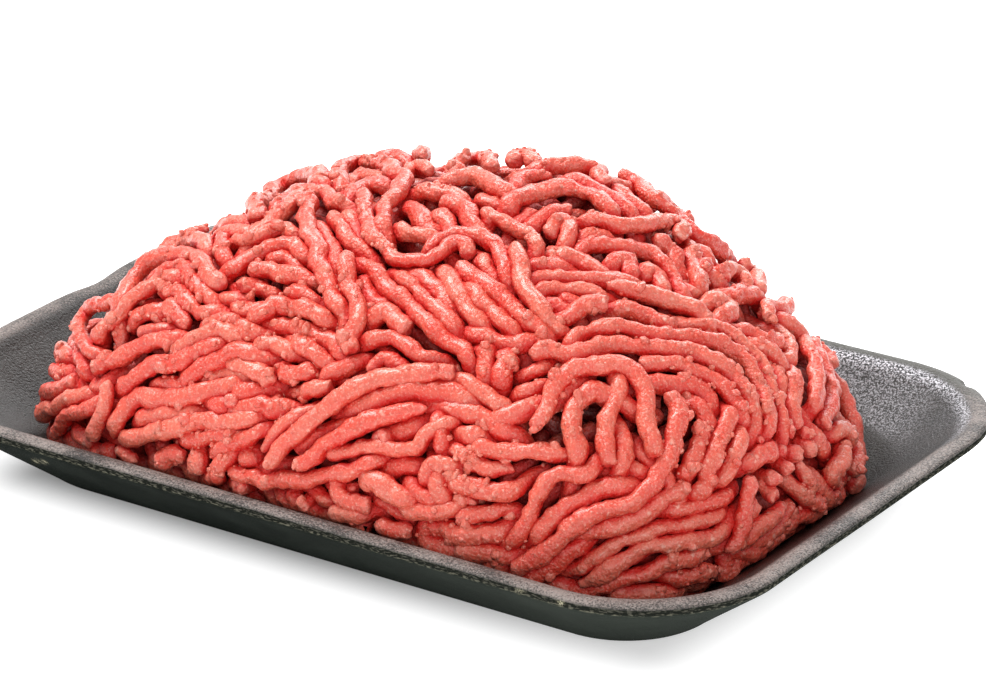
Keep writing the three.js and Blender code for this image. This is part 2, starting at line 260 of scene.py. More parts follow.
# A piece made of quads and triangles, with points in millimetres and attributes of one number a point
def buildMesh(name, points, quads, triangles, material, attributes=None):
    mesh = bpy.data.meshes.new(name)
    mesh.vertices.add(len(points))
    mesh.vertices.foreach_set("co", (np.asarray(points) * mm).astype(np.float32).ravel())
    corners = np.concatenate([np.asarray(quads).ravel(), np.asarray(triangles).ravel()]).astype(np.int32)
    mesh.loops.add(len(corners))
    mesh.loops.foreach_set("vertex_index", corners)
    starts = np.arange(len(quads)) * 4
    starts = np.concatenate([starts, len(quads) * 4 + np.arange(len(triangles)) * 3]).astype(np.int32)
    mesh.polygons.add(len(starts))
    mesh.polygons.foreach_set("loop_start", starts)
    mesh.polygons.foreach_set("use_smooth", np.ones(len(starts), bool))
    for key, numbers in (attributes or {}).items():
        layer = mesh.attributes.new(key, "FLOAT", "POINT")
        layer.data.foreach_set("value", np.asarray(numbers, np.float32))
    mesh.update(calc_edges=True)
    mesh.validate()
    mesh.materials.append(material)
    piece = bpy.data.objects.new(name, mesh)
    bpy.context.collection.objects.link(piece)
    return piece


# Even noise, 0 to 1: numbers scrambled from the places of the corners of cubes, blended smoothly between them
def latticeNoise(points, size, key=0):
    place = np.asarray(points) / size
    low = np.floor(place)
    part = place - low
    part = part * part * (3 - 2 * part)
    low = low.astype(np.int64)
    total = np.zeros(place.shape[:-1])
    for corner in range(8):
        step = np.array([corner & 1, corner >> 1 & 1, corner >> 2 & 1])
        at = low + step
        x, y, z = np.moveaxis(at, -1, 0)
        mixed = x * 73856093 ^ y * 19349663 ^ z * 83492791 ^ key * 2654435761
        mixed = (mixed ^ mixed >> 13) * 1274126177 & 0xFFFFFFFF
        number = ((mixed ^ mixed >> 16) & 0xFFFF) / 65535.0
        total += number * np.prod(np.where(step, part, 1 - part), axis=-1)
    return total


# Tray shape

tray = {
    "length": (trayHigh.x - trayLow.x) / mm,
    "width": (trayHigh.y - trayLow.y) / mm,
    "height": (trayHigh.z - trayLow.z) / mm,
    "cornerRadius": 31.5,  # at the outer edge of the rim
    "cornerTaper": 0.54,  # how much the corner radius shrinks for each millimetre inwards
    "floor": 3.6,
    "baseInset": 28.0,
    "footWidth": 8.0,
    "panelRise": 0.8,
    "undercut": 1.3,  # inset of the wall just under the cut edge
    "edge": 1.2,
    "edgeRound": 0.6,
    "crest": 2.4,
    "lip": 5.6,
    "aroundStep": 1.1,
}


# Points on the curve that leaves a towards b and comes from b into c
def bend(a, b, c, count):
    t = np.linspace(0, 1, count)[:, None]
    return (1 - t) ** 2 * np.array(a) + 2 * t * (1 - t) * np.array(b) + t * t * np.array(c)


def straight(a, b, count):
    t = np.linspace(0, 1, count)[:, None]
    return (1 - t) * np.array(a) + t * np.array(b)


# The tray's inner section as inset from the rim's edge and height
def insideSection():
    top, lip, base, floor = tray["height"], tray["lip"], tray["baseInset"], tray["floor"]
    edgeTop, crest = (0.2, top - tray["edgeRound"]), (tray["crest"], top)
    wallTop, wallEnd, floorStart = (lip + 1.6, top - 2.6), (base - 4.5, floor + 4.2), (base + 4.5, floor)
    return np.concatenate([
        bend(edgeTop, (tray["crest"] / 2, top), crest, 6)[:-1],
        bend(crest, (lip - 1, top), wallTop, 9)[:-1],
        straight(wallTop, wallEnd, 18)[:-1],
        bend(wallEnd, (base - 0.5, floor), floorStart, 10),
    ])


# The same for its underside, from the middle out
def undersideSection():
    base, undercut = tray["baseInset"], tray["undercut"]
    panel, foot = base + tray["footWidth"] + 2, base + tray["footWidth"]
    edgeTop = tray["height"] - tray["edgeRound"]
    edgeLow = edgeTop - tray["edge"]
    wallFoot, wallTop = (base - 6.5, 2.6), (undercut, edgeLow - undercut)
    return np.concatenate([
        straight((panel, tray["panelRise"]), (foot, 0), 3)[:-1],
        straight((foot, 0), (base, 0), 6)[:-1],
        bend((base, 0), (base - 4, 0), wallFoot, 8)[:-1],
        straight(wallFoot, wallTop, 20)[:-1],
        straight(wallTop, (0, edgeLow), 4)[:-1],
        straight((0, edgeLow), (0.2, edgeTop), 7)[:-1],
    ])


# How far in from the rim's edge each place is: the inset whose rounded rectangle runs through it
def insetAt(x, y):
    taper, radius = tray["cornerTaper"], tray["cornerRadius"]
    keep = 1 - taper
    overX = np.abs(x) - tray["length"] / 2 + radius
    overY = np.abs(y) - tray["width"] / 2 + radius
    side = np.minimum(tray["length"] / 2 - np.abs(x), tray["width"] / 2 - np.abs(y))
    a = 2 * keep**2 - taper**2
    b = keep * (overX + overY) + radius * taper
    c = overX**2 + overY**2 - radius**2
    inCorner = (-b + np.sqrt(np.maximum(0, b * b - a * c))) / a
    return np.where(np.minimum(overX, overY) + keep * side <= 0, side, inCorner)


innerSection = insideSection()
innerWall = innerSection[np.argmax(innerSection[:, 0] > 2.3):]


# Height of the tray's inner surface at each place
def trayTop(x, y):
    return np.interp(insetAt(x, y), innerWall[:, 0], innerWall[:, 1])


# Heap outline

heap = {
    "middle": 16.0,
    "right": 91.0,
    "left": 93.0,
    "near": 64.5,
    "far": 60.0,
    "top": 52.0,
    "planPower": 2.66,
    "risePower": 2.07,
    # bearing, rise, spread and share of each swelling or hollow
    "swellings": ((40, 59, 20, 0.115), (25, 32, 16, -0.075), (179, 15, 18, -0.1),
                  (189, 28, 14, -0.055), (162, 48, 16, -0.03)),
}
heapMiddle = np.array([0, 0, heap["middle"]])


# Unit vectors at a bearing round the heap (-90 is the front) and a rise above its middle, in degrees
def wayOf(bearing, rise):
    b, r = np.broadcast_arrays(np.radians(bearing), np.radians(rise))
    return np.stack([np.cos(r) * np.cos(b), np.cos(r) * np.sin(b), np.sin(r)], -1)


# How far the heap reaches in each direction: a superellipsoid dome, swelled here and there by bell curves
def reach(way):
    along = np.abs(way[..., 0]) / np.where(way[..., 0] > 0, heap["right"], heap["left"])
    across = np.abs(way[..., 1]) / np.where(way[..., 1] > 0, heap["far"], heap["near"])
    planPower, risePower = heap["planPower"], heap["risePower"]
    plan = (along ** planPower + across ** planPower) ** (risePower / planPower)
    size = (plan + (np.abs(way[..., 2]) / heap["top"]) ** risePower) ** (-1 / risePower)
    for bearing, rise, width, share in heap["swellings"]:
        off = np.degrees(np.arccos(np.clip(way @ wayOf(bearing, rise), -1, 1)))
        size = size * (1 + share * np.exp(-0.5 * (off / width) ** 2))
    return size


# Points moved in or out along their line from the heap's middle, to lie at a depth under its outline
def ontoHeap(points, depth=0.0):
    way = unit(points - heapMiddle)
    return way * (reach(way) - depth)[..., None] + heapMiddle


# Strands

strand = {
    "diameter": 3.85,
    "bead": 2.5,  # length between the points that a strand is settled by
    "spacing": 4.7,
    "room": 4.35,  # least distance from a strand already laid
    "crowd": 4.35,  # least distance between two strands' middles
}
# A strand that another lies across is carried on under it.
tuck = {
    "beads": 4,
    "drop": 1.5,  # how much deeper each bead is than the one before
    "near": 3.6,  # how close another strand is that covers an end
    "level": 0.6,  # a strand this much less proud still covers it
    "chance": 0.8,  # that an end of a filling strand is tucked under
}
endOn = {"stub": 4, "proud": 1.2, "lean": 0.25}  # beads of a strand whose end faces outwards

# Strands that show, read off the photograph: how far each stands proud in millimetres, and the pixels
# that it runs through
leftEnd = [
    (2.5, (89, 357), (80, 330), (89, 311), (108, 304), (124, 303)),
    (2.0, (99, 338), (113, 316), (139, 295), (163, 280), (176, 279)),
    (2.5, (122, 304), (139, 278), (153, 264), (175, 257), (194, 259), (208, 273), (222, 285)),
    (1.5, (153, 285), (172, 271), (187, 273), (201, 288), (208, 307)),
    (1.5, (163, 283), (177, 295), (196, 311), (208, 314)),
    (1.0, (168, 307), (182, 323)),
    (0.0, (132, 311), (163, 304)),
    (0.0, (134, 330), (168, 321)),
    (2.5, (153, 247), (165, 235), (187, 232), (203, 229)),
    (2.0, (163, 252), (187, 238), (206, 243), (210, 257)),
    (1.5, (221, 240), (221, 259)),
    (1.5, (220, 273), (249, 257), (278, 245), (301, 250), (311, 259)),
    (1.0, (213, 226), (234, 223), (249, 226)),
    (1.0, (213, 237), (234, 231), (250, 236)),
    (1.5, (56, 347), (63, 364)),
    (1.5, (53, 368), (66, 379)),
    (1.0, (73, 350), (82, 376)),
    (2.0, (94, 373), (120, 361), (144, 347), (163, 338), (182, 347)),
    (2.0, (184, 352), (201, 333), (218, 328), (230, 335)),
    (1.5, (210, 321), (220, 309), (234, 321), (249, 330)),
    (2.0, (127, 389), (144, 374), (163, 361), (201, 352), (222, 345)),
    (1.5, (191, 373), (210, 359), (230, 354), (249, 361)),
    (1.0, (227, 309), (249, 300)),
    (0.5, (251, 288), (243, 287)),
    (2.0, (34, 424), (41, 403), (51, 386), (75, 384)),
    (2.5, (44, 415), (56, 405), (75, 400)),
    (2.5, (60, 436), (68, 417), (84, 405), (103, 405)),
    (3.0, (101, 436), (108, 412), (115, 386)),
    (1.5, (113, 429), (125, 412), (144, 400), (168, 396), (210, 396), (230, 391)),
    (1.5, (122, 443), (144, 429), (172, 422), (210, 424), (249, 417)),
    (1.0, (187, 443), (210, 441), (244, 431)),
    (1.0, (139, 415), (160, 410), (190, 408)),
    (2.0, (163, 467), (172, 453), (184, 446)),
    (2.0, (201, 463), (203, 479)),
    (2.0, (218, 479), (225, 462)),
    (1.5, (75, 439), (91, 448)),
    (1.5, (115, 450), (132, 455)),
    (0.5, (187, 379), (218, 370), (244, 374)),
    (0.0, (75, 379), (82, 396)),
    (1.5, (218, 408), (228, 413)),
    (0.5, (91, 393), (101, 379)),
    (0.5, (244, 453), (240, 462)),
    (0.0, (150, 388), (185, 388)),
]
crownLeft = [
    (2.5, (242, 228), (259, 207), (275, 188), (292, 178), (309, 178), (325, 188)),
    (2.0, (254, 235), (278, 216), (299, 197), (318, 189), (332, 195), (342, 204)),
    (1.5, (285, 204), (297, 190), (309, 185)),
    (2.5, (309, 202), (311, 216), (309, 235), (316, 247), (318, 269), (328, 295), (337, 311)),
    (1.5, (230, 238), (254, 238), (278, 226), (294, 228)),
    (1.5, (247, 276), (273, 271), (311, 278)),
    (2.0, (254, 321), (278, 304), (301, 307), (332, 319)),
    (1.5, (294, 288), (311, 297)),
    (1.0, (230, 311), (244, 321), (256, 323)),
    (2.5, (332, 188), (344, 171), (363, 165), (382, 166), (401, 178), (404, 194), (390, 206),
     (382, 216), (385, 228)),
    (2.5, (375, 164), (392, 154), (413, 152)),
    (3.0, (415, 157), (425, 162)),
    (1.5, (344, 197), (363, 185), (382, 183)),
    (2.0, (397, 176), (416, 169), (430, 173)),
    (2.5, (359, 197), (363, 221), (373, 242), (392, 259), (416, 271), (430, 266), (444, 252),
     (464, 245), (474, 257)),
    (3.0, (349, 261), (349, 283), (359, 304), (359, 326), (350, 359)),
    (1.5, (359, 264), (378, 278), (397, 292), (420, 307), (440, 321), (454, 330), (473, 354), (476, 361)),
    (0.5, (359, 275), (373, 295), (382, 300)),
    (1.5, (397, 280), (420, 295), (444, 312), (462, 326)),
    (1.0, (416, 269), (435, 288), (452, 305)),
    (1.5, (375, 316), (390, 311), (411, 326)),
    (1.5, (397, 233), (420, 235), (444, 242)),
    (0.5, (409, 204), (425, 219), (444, 223)),
    (1.5, (428, 188), (448, 190), (460, 197)),
    (1.5, (447, 204), (464, 202), (471, 214), (478, 226)),
    (1.5, (368, 342), (392, 338), (409, 352), (430, 364)),
    (1.0, (370, 366), (387, 354), (399, 368)),
    (0.5, (261, 328), (290, 330), (325, 342), (342, 352)),
    (1.5, (258, 345), (290, 350)),
    (1.5, (299, 350), (318, 364)),
    (1.5, (230, 354), (254, 366), (266, 384)),
    (1.0, (325, 371), (342, 361)),
    (1.0, (320, 221), (325, 240), (340, 269)),
    (0.5, (440, 216), (450, 230)),
    (1.5, (287, 374), (309, 374)),
    (1.5, (311, 381), (335, 381)),
    (1.0, (330, 216), (352, 240), (365, 257)),
    (0.0, (300, 262), (296, 252), (270, 256)),
    (0.5, (345, 215), (355, 232)),
    (0.5, (338, 182), (356, 173), (377, 174)),
]
crown = [
    (2.5, (454, 174), (466, 163), (483, 160), (491, 170)),
    (2.0, (454, 180), (471, 174), (488, 183), (511, 195)),
    (3.5, (514, 164), (522, 157), (529, 165)),
    (2.0, (511, 188), (523, 172), (542, 171)),
    (2.5, (545, 167), (564, 168), (588, 171), (602, 176), (607, 187)),
    (2.5, (504, 209), (519, 197), (542, 190), (571, 185), (592, 197), (611, 214)),
    (1.5, (583, 185), (607, 195), (621, 204), (638, 219)),
    (3.0, (626, 172), (638, 188), (647, 200), (661, 211), (672, 219)),
    (1.5, (614, 188), (630, 200), (645, 214)),
    (1.0, (530, 223), (545, 211), (569, 208)),
    (0.5, (516, 219), (535, 207)),
    (2.0, (485, 221), (495, 211), (511, 221), (530, 235), (542, 250)),
    (2.0, (559, 235), (569, 221), (578, 231), (573, 247)),
    (2.5, (585, 224), (602, 221), (630, 228), (669, 223), (681, 231), (681, 243)),
    (1.5, (573, 250), (595, 242), (616, 247), (645, 250), (664, 264), (679, 278), (695, 297)),
    (1.0, (578, 238), (592, 233), (607, 238)),
    (1.5, (530, 261), (547, 264), (562, 270)),
    (1.5, (566, 257), (583, 259), (602, 269), (611, 275)),
    (1.5, (611, 268), (623, 261), (635, 266), (635, 276)),
    (1.5, (642, 273), (659, 274), (666, 290)),
    (1.0, (533, 283), (552, 276), (578, 278), (607, 280), (628, 283)),
    (1.0, (540, 295), (559, 288), (583, 290), (604, 293)),
    (2.0, (607, 290), (630, 287), (654, 295), (674, 304), (698, 316), (710, 328)),
    (0.0, (542, 304), (573, 302)),
    (3.0, (519, 252), (519, 271), (528, 292), (538, 311), (547, 324)),
    (2.5, (552, 326), (569, 314), (592, 304), (604, 307)),
    (1.5, (478, 338), (495, 347), (519, 347), (540, 336)),
    (2.0, (440, 242), (459, 233), (478, 235), (497, 250), (502, 266), (504, 281)),
    (1.5, (464, 266), (480, 283), (497, 295), (519, 316), (543, 333)),
    (1.5, (466, 285), (483, 302), (497, 314), (511, 333)),
    (1.5, (447, 276), (457, 295), (469, 314), (480, 328)),
    (1.5, (485, 261), (495, 278)),
    (1.0, (626, 306), (645, 316), (668, 328)),
    (0.0, (575, 300), (560, 296)),
    (1.0, (480, 200), (500, 207)),
    (0.5, (598, 183), (614, 182), (630, 187)),
]
rightEnd = [
    (2.5, (650, 199), (664, 203), (679, 211), (683, 221)),
    (1.8, (683, 223), (700, 240), (719, 252), (743, 256)),
    (3.0, (745, 261), (752, 276), (752, 287)),
    (1.0, (657, 242), (674, 247), (681, 259)),
    (1.5, (686, 245), (695, 264), (698, 283)),
    (1.5, (702, 252), (712, 264)),
    (2.0, (721, 269), (736, 273), (745, 283)),
    (2.0, (729, 295), (743, 292), (757, 300)),
    (1.5, (719, 302), (733, 307), (729, 321)),
    (1.5, (712, 276), (724, 286)),
    (3.0, (766, 322), (778, 312), (786, 304), (793, 297)),
    (2.5, (760, 307), (769, 311), (786, 326), (802, 338), (807, 354), (812, 378), (814, 412)),
    (0.5, (783, 333), (793, 345), (790, 366)),
    (2.0, (812, 342), (821, 361), (833, 389), (829, 408), (824, 429)),
    (2.0, (821, 345), (834, 357), (838, 369)),
    (1.5, (745, 335), (764, 342), (783, 345)),
    (1.5, (790, 370), (793, 396), (798, 415), (805, 430)),
    (1.0, (845, 384), (857, 412), (867, 439), (871, 472)),
    (1.0, (805, 415), (821, 439), (831, 453)),
    (1.5, (831, 431), (852, 446)),
    (2.0, (762, 354), (783, 369)),
    (2.0, (779, 374), (783, 386)),
    (2.0, (840, 455), (829, 474), (831, 498)),
    (1.5, (798, 470), (805, 484), (812, 498)),
    (2.0, (855, 460), (852, 475)),
    (1.0, (805, 493), (817, 503)),
    (1.0, (826, 503), (840, 508)),
    (1.0, (857, 493), (864, 490)),
    (1.0, (700, 300), (690, 290)),
]
rainbow = [
    (2.5, (571, 345), (583, 333), (611, 328), (642, 333), (674, 338), (707, 342), (729, 350), (752, 371),
     (764, 403), (767, 431)),
    (2.5, (535, 354), (547, 350), (566, 359), (588, 352), (619, 342), (650, 350), (679, 350), (710, 361),
     (733, 378), (746, 400), (747, 425)),
    (2.0, (707, 326), (729, 333), (745, 347), (762, 366), (774, 405), (776, 427)),
    (2.0, (640, 366), (664, 368), (690, 374), (714, 386), (731, 400), (741, 425)),
    (1.0, (640, 382), (664, 379), (690, 386), (710, 391), (719, 405)),
    (2.0, (500, 422), (521, 412), (545, 398), (573, 379)),
    (4.0, (530, 427), (552, 403), (571, 381), (592, 370), (616, 370), (635, 384), (640, 408),
     (642, 431), (654, 453)),
    (3.0, (573, 460), (570, 431), (570, 405), (583, 391), (604, 389), (618, 394)),
    (3.0, (621, 396), (616, 410), (604, 431), (602, 455), (617, 466)),
    (2.0, (622, 446), (621, 474)),
    (3.5, (519, 567), (550, 548), (573, 527), (602, 512), (638, 498), (654, 479), (661, 455), (670, 427),
     (676, 408), (666, 397)),
    (1.5, (698, 403), (710, 422)),
    (2.5, (702, 427), (698, 450), (688, 481)),
    (2.5, (733, 417), (719, 441), (707, 467), (705, 489), (698, 498)),
    (2.5, (740, 436), (731, 455), (719, 474)),
    (3.5, (743, 477), (738, 503), (731, 527), (726, 548)),
    (2.0, (764, 448), (743, 462)),
    (2.0, (745, 536), (764, 524), (783, 503)),
    (1.5, (750, 517), (757, 503)),
    (1.5, (635, 472), (646, 474)),
    (2.0, (664, 479), (681, 503)),
]
lowerRight = [
    (2.5, (516, 541), (528, 512), (542, 486), (559, 470), (588, 465)),
    (2.0, (542, 543), (561, 515), (583, 496), (607, 484), (638, 484)),
    (2.0, (535, 577), (559, 565), (580, 546)),
    (2.0, (578, 536), (607, 522), (642, 516), (681, 497)),
    (2.5, (583, 581), (611, 565), (642, 548), (674, 531), (721, 529)),
    (1.5, (576, 574), (595, 562), (630, 543), (660, 527), (690, 520), (719, 518)),
    (2.0, (595, 586), (621, 572), (654, 562), (692, 548)),
    (1.5, (616, 588), (642, 589), (670, 587)),
    (1.5, (678, 584), (690, 582), (705, 572), (714, 574)),
    (1.5, (674, 512), (710, 508), (724, 503)),
    (0.5, (752, 546), (783, 541)),
    (1.5, (440, 384), (464, 386), (488, 393), (502, 410)),
    (1.5, (440, 405), (464, 410), (488, 422), (507, 436)),
    (1.5, (500, 379), (507, 363), (500, 352)),
    (1.5, (488, 378), (495, 359), (490, 350)),
    (2.0, (480, 448), (500, 448), (535, 450), (564, 453)),
    (2.0, (459, 453), (483, 462), (511, 470)),
    (1.5, (464, 439), (480, 443)),
    (2.0, (457, 486), (478, 493), (504, 489)),
    (2.0, (459, 522), (483, 512), (495, 517)),
    (2.0, (466, 538), (483, 533), (500, 541)),
    (2.0, (464, 552), (488, 556), (514, 561)),
    (0.5, (520, 375), (545, 366)),
    (1.0, (522, 396), (545, 385)),
]
lowerLeft = [
    (3.0, (272, 458), (292, 439), (320, 415), (354, 398), (382, 381), (406, 376), (432, 382), (459, 387)),
    (2.0, (261, 446), (278, 431), (301, 421)),
    (3.0, (304, 467), (325, 453), (349, 439), (368, 422), (397, 412), (428, 408)),
    (1.5, (359, 410), (382, 398), (406, 391), (428, 400), (459, 405)),
    (0.5, (297, 455), (320, 439), (340, 424)),
    (2.0, (235, 465), (254, 477), (278, 484), (306, 486), (332, 481), (356, 474), (373, 467)),
    (2.0, (337, 455), (363, 455), (394, 455), (416, 453), (435, 439), (448, 424)),
    (2.5, (375, 477), (392, 491), (411, 500)),
    (1.5, (230, 419), (249, 410), (265, 416)),
    (1.5, (222, 441), (240, 438), (256, 431)),
    (1.5, (242, 397), (253, 391)),
    (2.0, (342, 503), (356, 512), (373, 512)),
    (2.0, (337, 517), (360, 524)),
    (2.0, (385, 533), (411, 527)),
    (0.5, (404, 439), (428, 424)),
    (0.5, (397, 472), (420, 472)),
    (2.5, (435, 485), (441, 468), (456, 460)),
    (2.0, (442, 502), (440, 482)),
    (2.0, (418, 489), (436, 497)),
    (2.0, (413, 508), (454, 508)),
    (2.0, (444, 420), (444, 441)),
    (0.5, (330, 492), (352, 492)),
    (0.0, (395, 515), (420, 522)),
]
# Strands whose cut ends face outwards: the pixel of each
ends = [
    (276, 408), (382, 439), (307, 504), (757, 441), (776, 450), (781, 468), (767, 478), (807, 448),
    (793, 455), (785, 434), (802, 434), (244, 488), (236, 400), (720, 281), (768, 495), (700, 268),
    (461, 476), (244, 288),
]

fill = {
    "seeds": 900,
    "step": 2.5,
    "longest": 19,  # beads
    "shortest": 6,
    "abreast": 4,
    "lowest": -14.0,  # rise in degrees
    "outermost": 4.0,  # depth above which a layer counts as the outer one
    "bend": 5.5,  # degrees a step
    "stray": 35.0,  # degrees off the way that strands lie round about
    "hollowTop": 24.0,  # below this height, noise leaves hollows by the tray
    "hollowSize": 16.0,
    "hollowLevel": 0.5,
    # of each layer: depth it is laid at, depth it settles at, and what the number of seeds is divided by
    "layers": ((0.0, 1.6, 1), (3.4, 3.4, 2), (8.0, 8.0, 3)),
}


# Points evenly spaced along the smooth curve through given points, a fixed length apart
def along(points, spacing):
    points = np.asarray(points, float)
    if len(points) == 2:
        points = np.stack([points[0], points.mean(0), points[1]])
    before = np.concatenate([[2 * points[0] - points[1]], points[:-2]])
    after = np.concatenate([points[2:], [2 * points[-1] - points[-2]]])
    t = np.linspace(0, 1, 9)[:-1, None, None]
    a, b = points[:-1], points[1:]
    curve = 0.5 * (2 * a + (b - before) * t + (2 * before - 5 * a + 4 * b - after) * t**2
                   + (3 * a - before - 3 * b + after) * t**3)
    curve = np.concatenate([curve.transpose(1, 0, 2).reshape(-1, 3), points[-1:]])
    gone = np.concatenate([[0], np.cumsum(np.linalg.norm(np.diff(curve, axis=0), axis=1))])
    count = max(2, int(round(gone[-1] / spacing)) + 1)
    at = np.linspace(0, gone[-1], count)
    return np.stack([np.interp(at, gone, curve[:, k]) for k in range(3)], -1)


# The first place on the heap's outline in line with each pixel, or the nearest place to it beside the heap
def atPixels(pixels):
    back, right, up, eye = cameraWays()
    offset = np.array(pixels, float) - np.array(photo["size"]) / 2
    across, down = offset.T * view["film"] / view["lens"] / photo["size"][0]
    ray = unit(-back + right * across[:, None] - up * down[:, None])
    near, far = view["sight"]
    away = np.linspace(near, far, int(far - near) + 1)[None, :, None]
    points = eye + ray[:, None] * away
    way = points - heapMiddle
    share = np.linalg.norm(way, axis=2) / reach(unit(way))
    inside = share < 1
    hit = np.where(inside.any(1), np.argmax(inside, 1), np.argmin(share, 1))
    return ontoHeap(points[np.arange(len(points)), hit])


# The beads of one strand that the photograph shows
def shownStrand(proud, pixels):
    line = ontoHeap(along(atPixels(pixels), strand["bead"]), strand["diameter"] / 2 - proud)
    return along(line, strand["bead"])


# A strand that runs straight in from one pixel, so that its cut end faces outwards
def endOnStrand(pixel):
    start = atPixels([pixel])[0]
    way = unit(start - heapMiddle)
    lean = unit(way + dice.normal(0, endOn["lean"], 3))
    inwards = np.arange(endOn["stub"])[::-1, None] * strand["bead"]
    return start + way * endOn["proud"] - lean * inwards


# Walks many ways over the heap at once: each step turns evenly and stays on the outline
def walks(starts, headings, bends, steps):
    here, ahead = starts.copy(), headings.copy()
    trail = [here]
    for _ in range(steps):
        out = unit(here - heapMiddle)
        ahead = unit(ahead - np.sum(ahead * out, 1, keepdims=True) * out)
        ahead = unit(ahead + np.cross(out, ahead) * np.radians(bends)[:, None])
        here = ontoHeap(here + ahead * fill["step"])
        trail.append(here)
    return np.stack(trail, 1)


# Whether a line lies low beside the tray where noise leaves a hollow
def isHollow(line):
    if len(line) == 0 or line[:, 2].mean() >= fill["hollowTop"]:
        return False
    return latticeNoise(line[len(line) // 2], fill["hollowSize"], 77) > fill["hollowLevel"]


# Strands that fill the bare places: a few abreast from each seed, as far as they find room. An additive
# sequence spreads the seeds evenly over the dome, and strands near each other lie much the same way.
def fillStrands(taken, depth, seeds):
    number = np.arange(1, seeds + 1)
    bearing = 360 * (number * 0.7548777 % 1.0)
    lowest = math.sin(math.radians(fill["lowest"]))
    rise = np.degrees(np.arcsin(lowest + (1 - lowest) * (number * 0.5698403 % 1.0)))
    first = ontoHeap(wayOf(bearing, rise) + heapMiddle)
    out = unit(first - heapMiddle)
    level = unit(np.cross([0, 0, 1.0], out))
    stray = dice.uniform(-fill["stray"], fill["stray"], seeds)
    lie = np.radians(140 * latticeNoise(first, 30, 5) + 220 * latticeNoise(first, 60, 9) + stray)
    heading = level * np.cos(lie)[:, None] + np.cross(out, level) * np.sin(lie)[:, None]
    bends = dice.normal(0, fill["bend"], seeds)
    abreast = dice.integers(1, fill["abreast"] + 1, seeds)
    length = dice.integers(fill["shortest"], fill["longest"] + 1, seeds)
    side = np.cross(out, heading)
    trails = [
        walks(ontoHeap(first + side * strand["spacing"] * k), heading, bends, fill["longest"])
        for k in range(fill["abreast"])
    ]
    taken = ontoHeap(np.concatenate(taken)) if taken else np.zeros((0, 3))
    made = []
    for i in range(seeds):
        added = []
        for k in range(abreast[i]):
            line = trails[k][i][:length[i] + dice.integers(-1, 2)]
            if len(taken):
                near = np.linalg.norm(line[:, None] - taken[None], axis=2).min(1) < strand["room"]
                line = line[:int(np.argmax(near)) if near.any() else len(line)]
            if depth < fill["outermost"] and isHollow(line):
                break
            if len(line) < fill["shortest"]:
                break
            added.append(line)
        if added:
            taken = np.concatenate([taken, *added])
            made += [ontoHeap(line, depth) for line in added]
    return made


# Which ends of each strand run under another: those with a strand about as proud, or prouder, just ahead
def coveredEnds(strands, lifts):
    beads = np.concatenate(strands)
    lengths = [len(s) for s in strands]
    owner = np.repeat(np.arange(len(strands)), lengths)
    lift = np.repeat(lifts, lengths)
    covered = []
    for i, line in enumerate(strands):
        others = beads[(owner != i) & (lift > lifts[i] - tuck["level"])]
        ahead = np.stack([2 * line[0] - line[1], 2 * line[-1] - line[-2]])
        covered.append(np.linalg.norm(ahead[:, None] - others[None], axis=2).min(1) < tuck["near"])
    return covered


# A strand carried on past each covered end, each bead deeper under the outline, and the depths of its beads
def tuckUnder(line, depth, covered):
    deeper = np.full(len(line), float(depth))
    count = np.arange(1, tuck["beads"] + 1)
    for isCovered in covered:
        line, deeper = line[::-1], deeper[::-1]
        if isCovered:
            step = line[-1] - line[-2]
            line = np.concatenate([line, line[-1] + count[:, None] * step])
            deeper = np.concatenate([deeper, depth + count * tuck["drop"]])
    return ontoHeap(line, deeper), deeper


# How far each round of settling moves a bead, as shares of what would put it right
easing = {
    "rounds": 80,
    "pairRounds": 8,  # rounds between searches for close pairs
    "pairMargin": 2.0,
    "push": 0.55,
    "crowded": 0.25,
    "length": 0.45,
    "straighten": 0.22,
    "home": 0.12,
    "depth": 0.12,
    "shownHold": 0.5,  # how firmly shown strands keep their place
    "tuckedHold": 0.1,
}


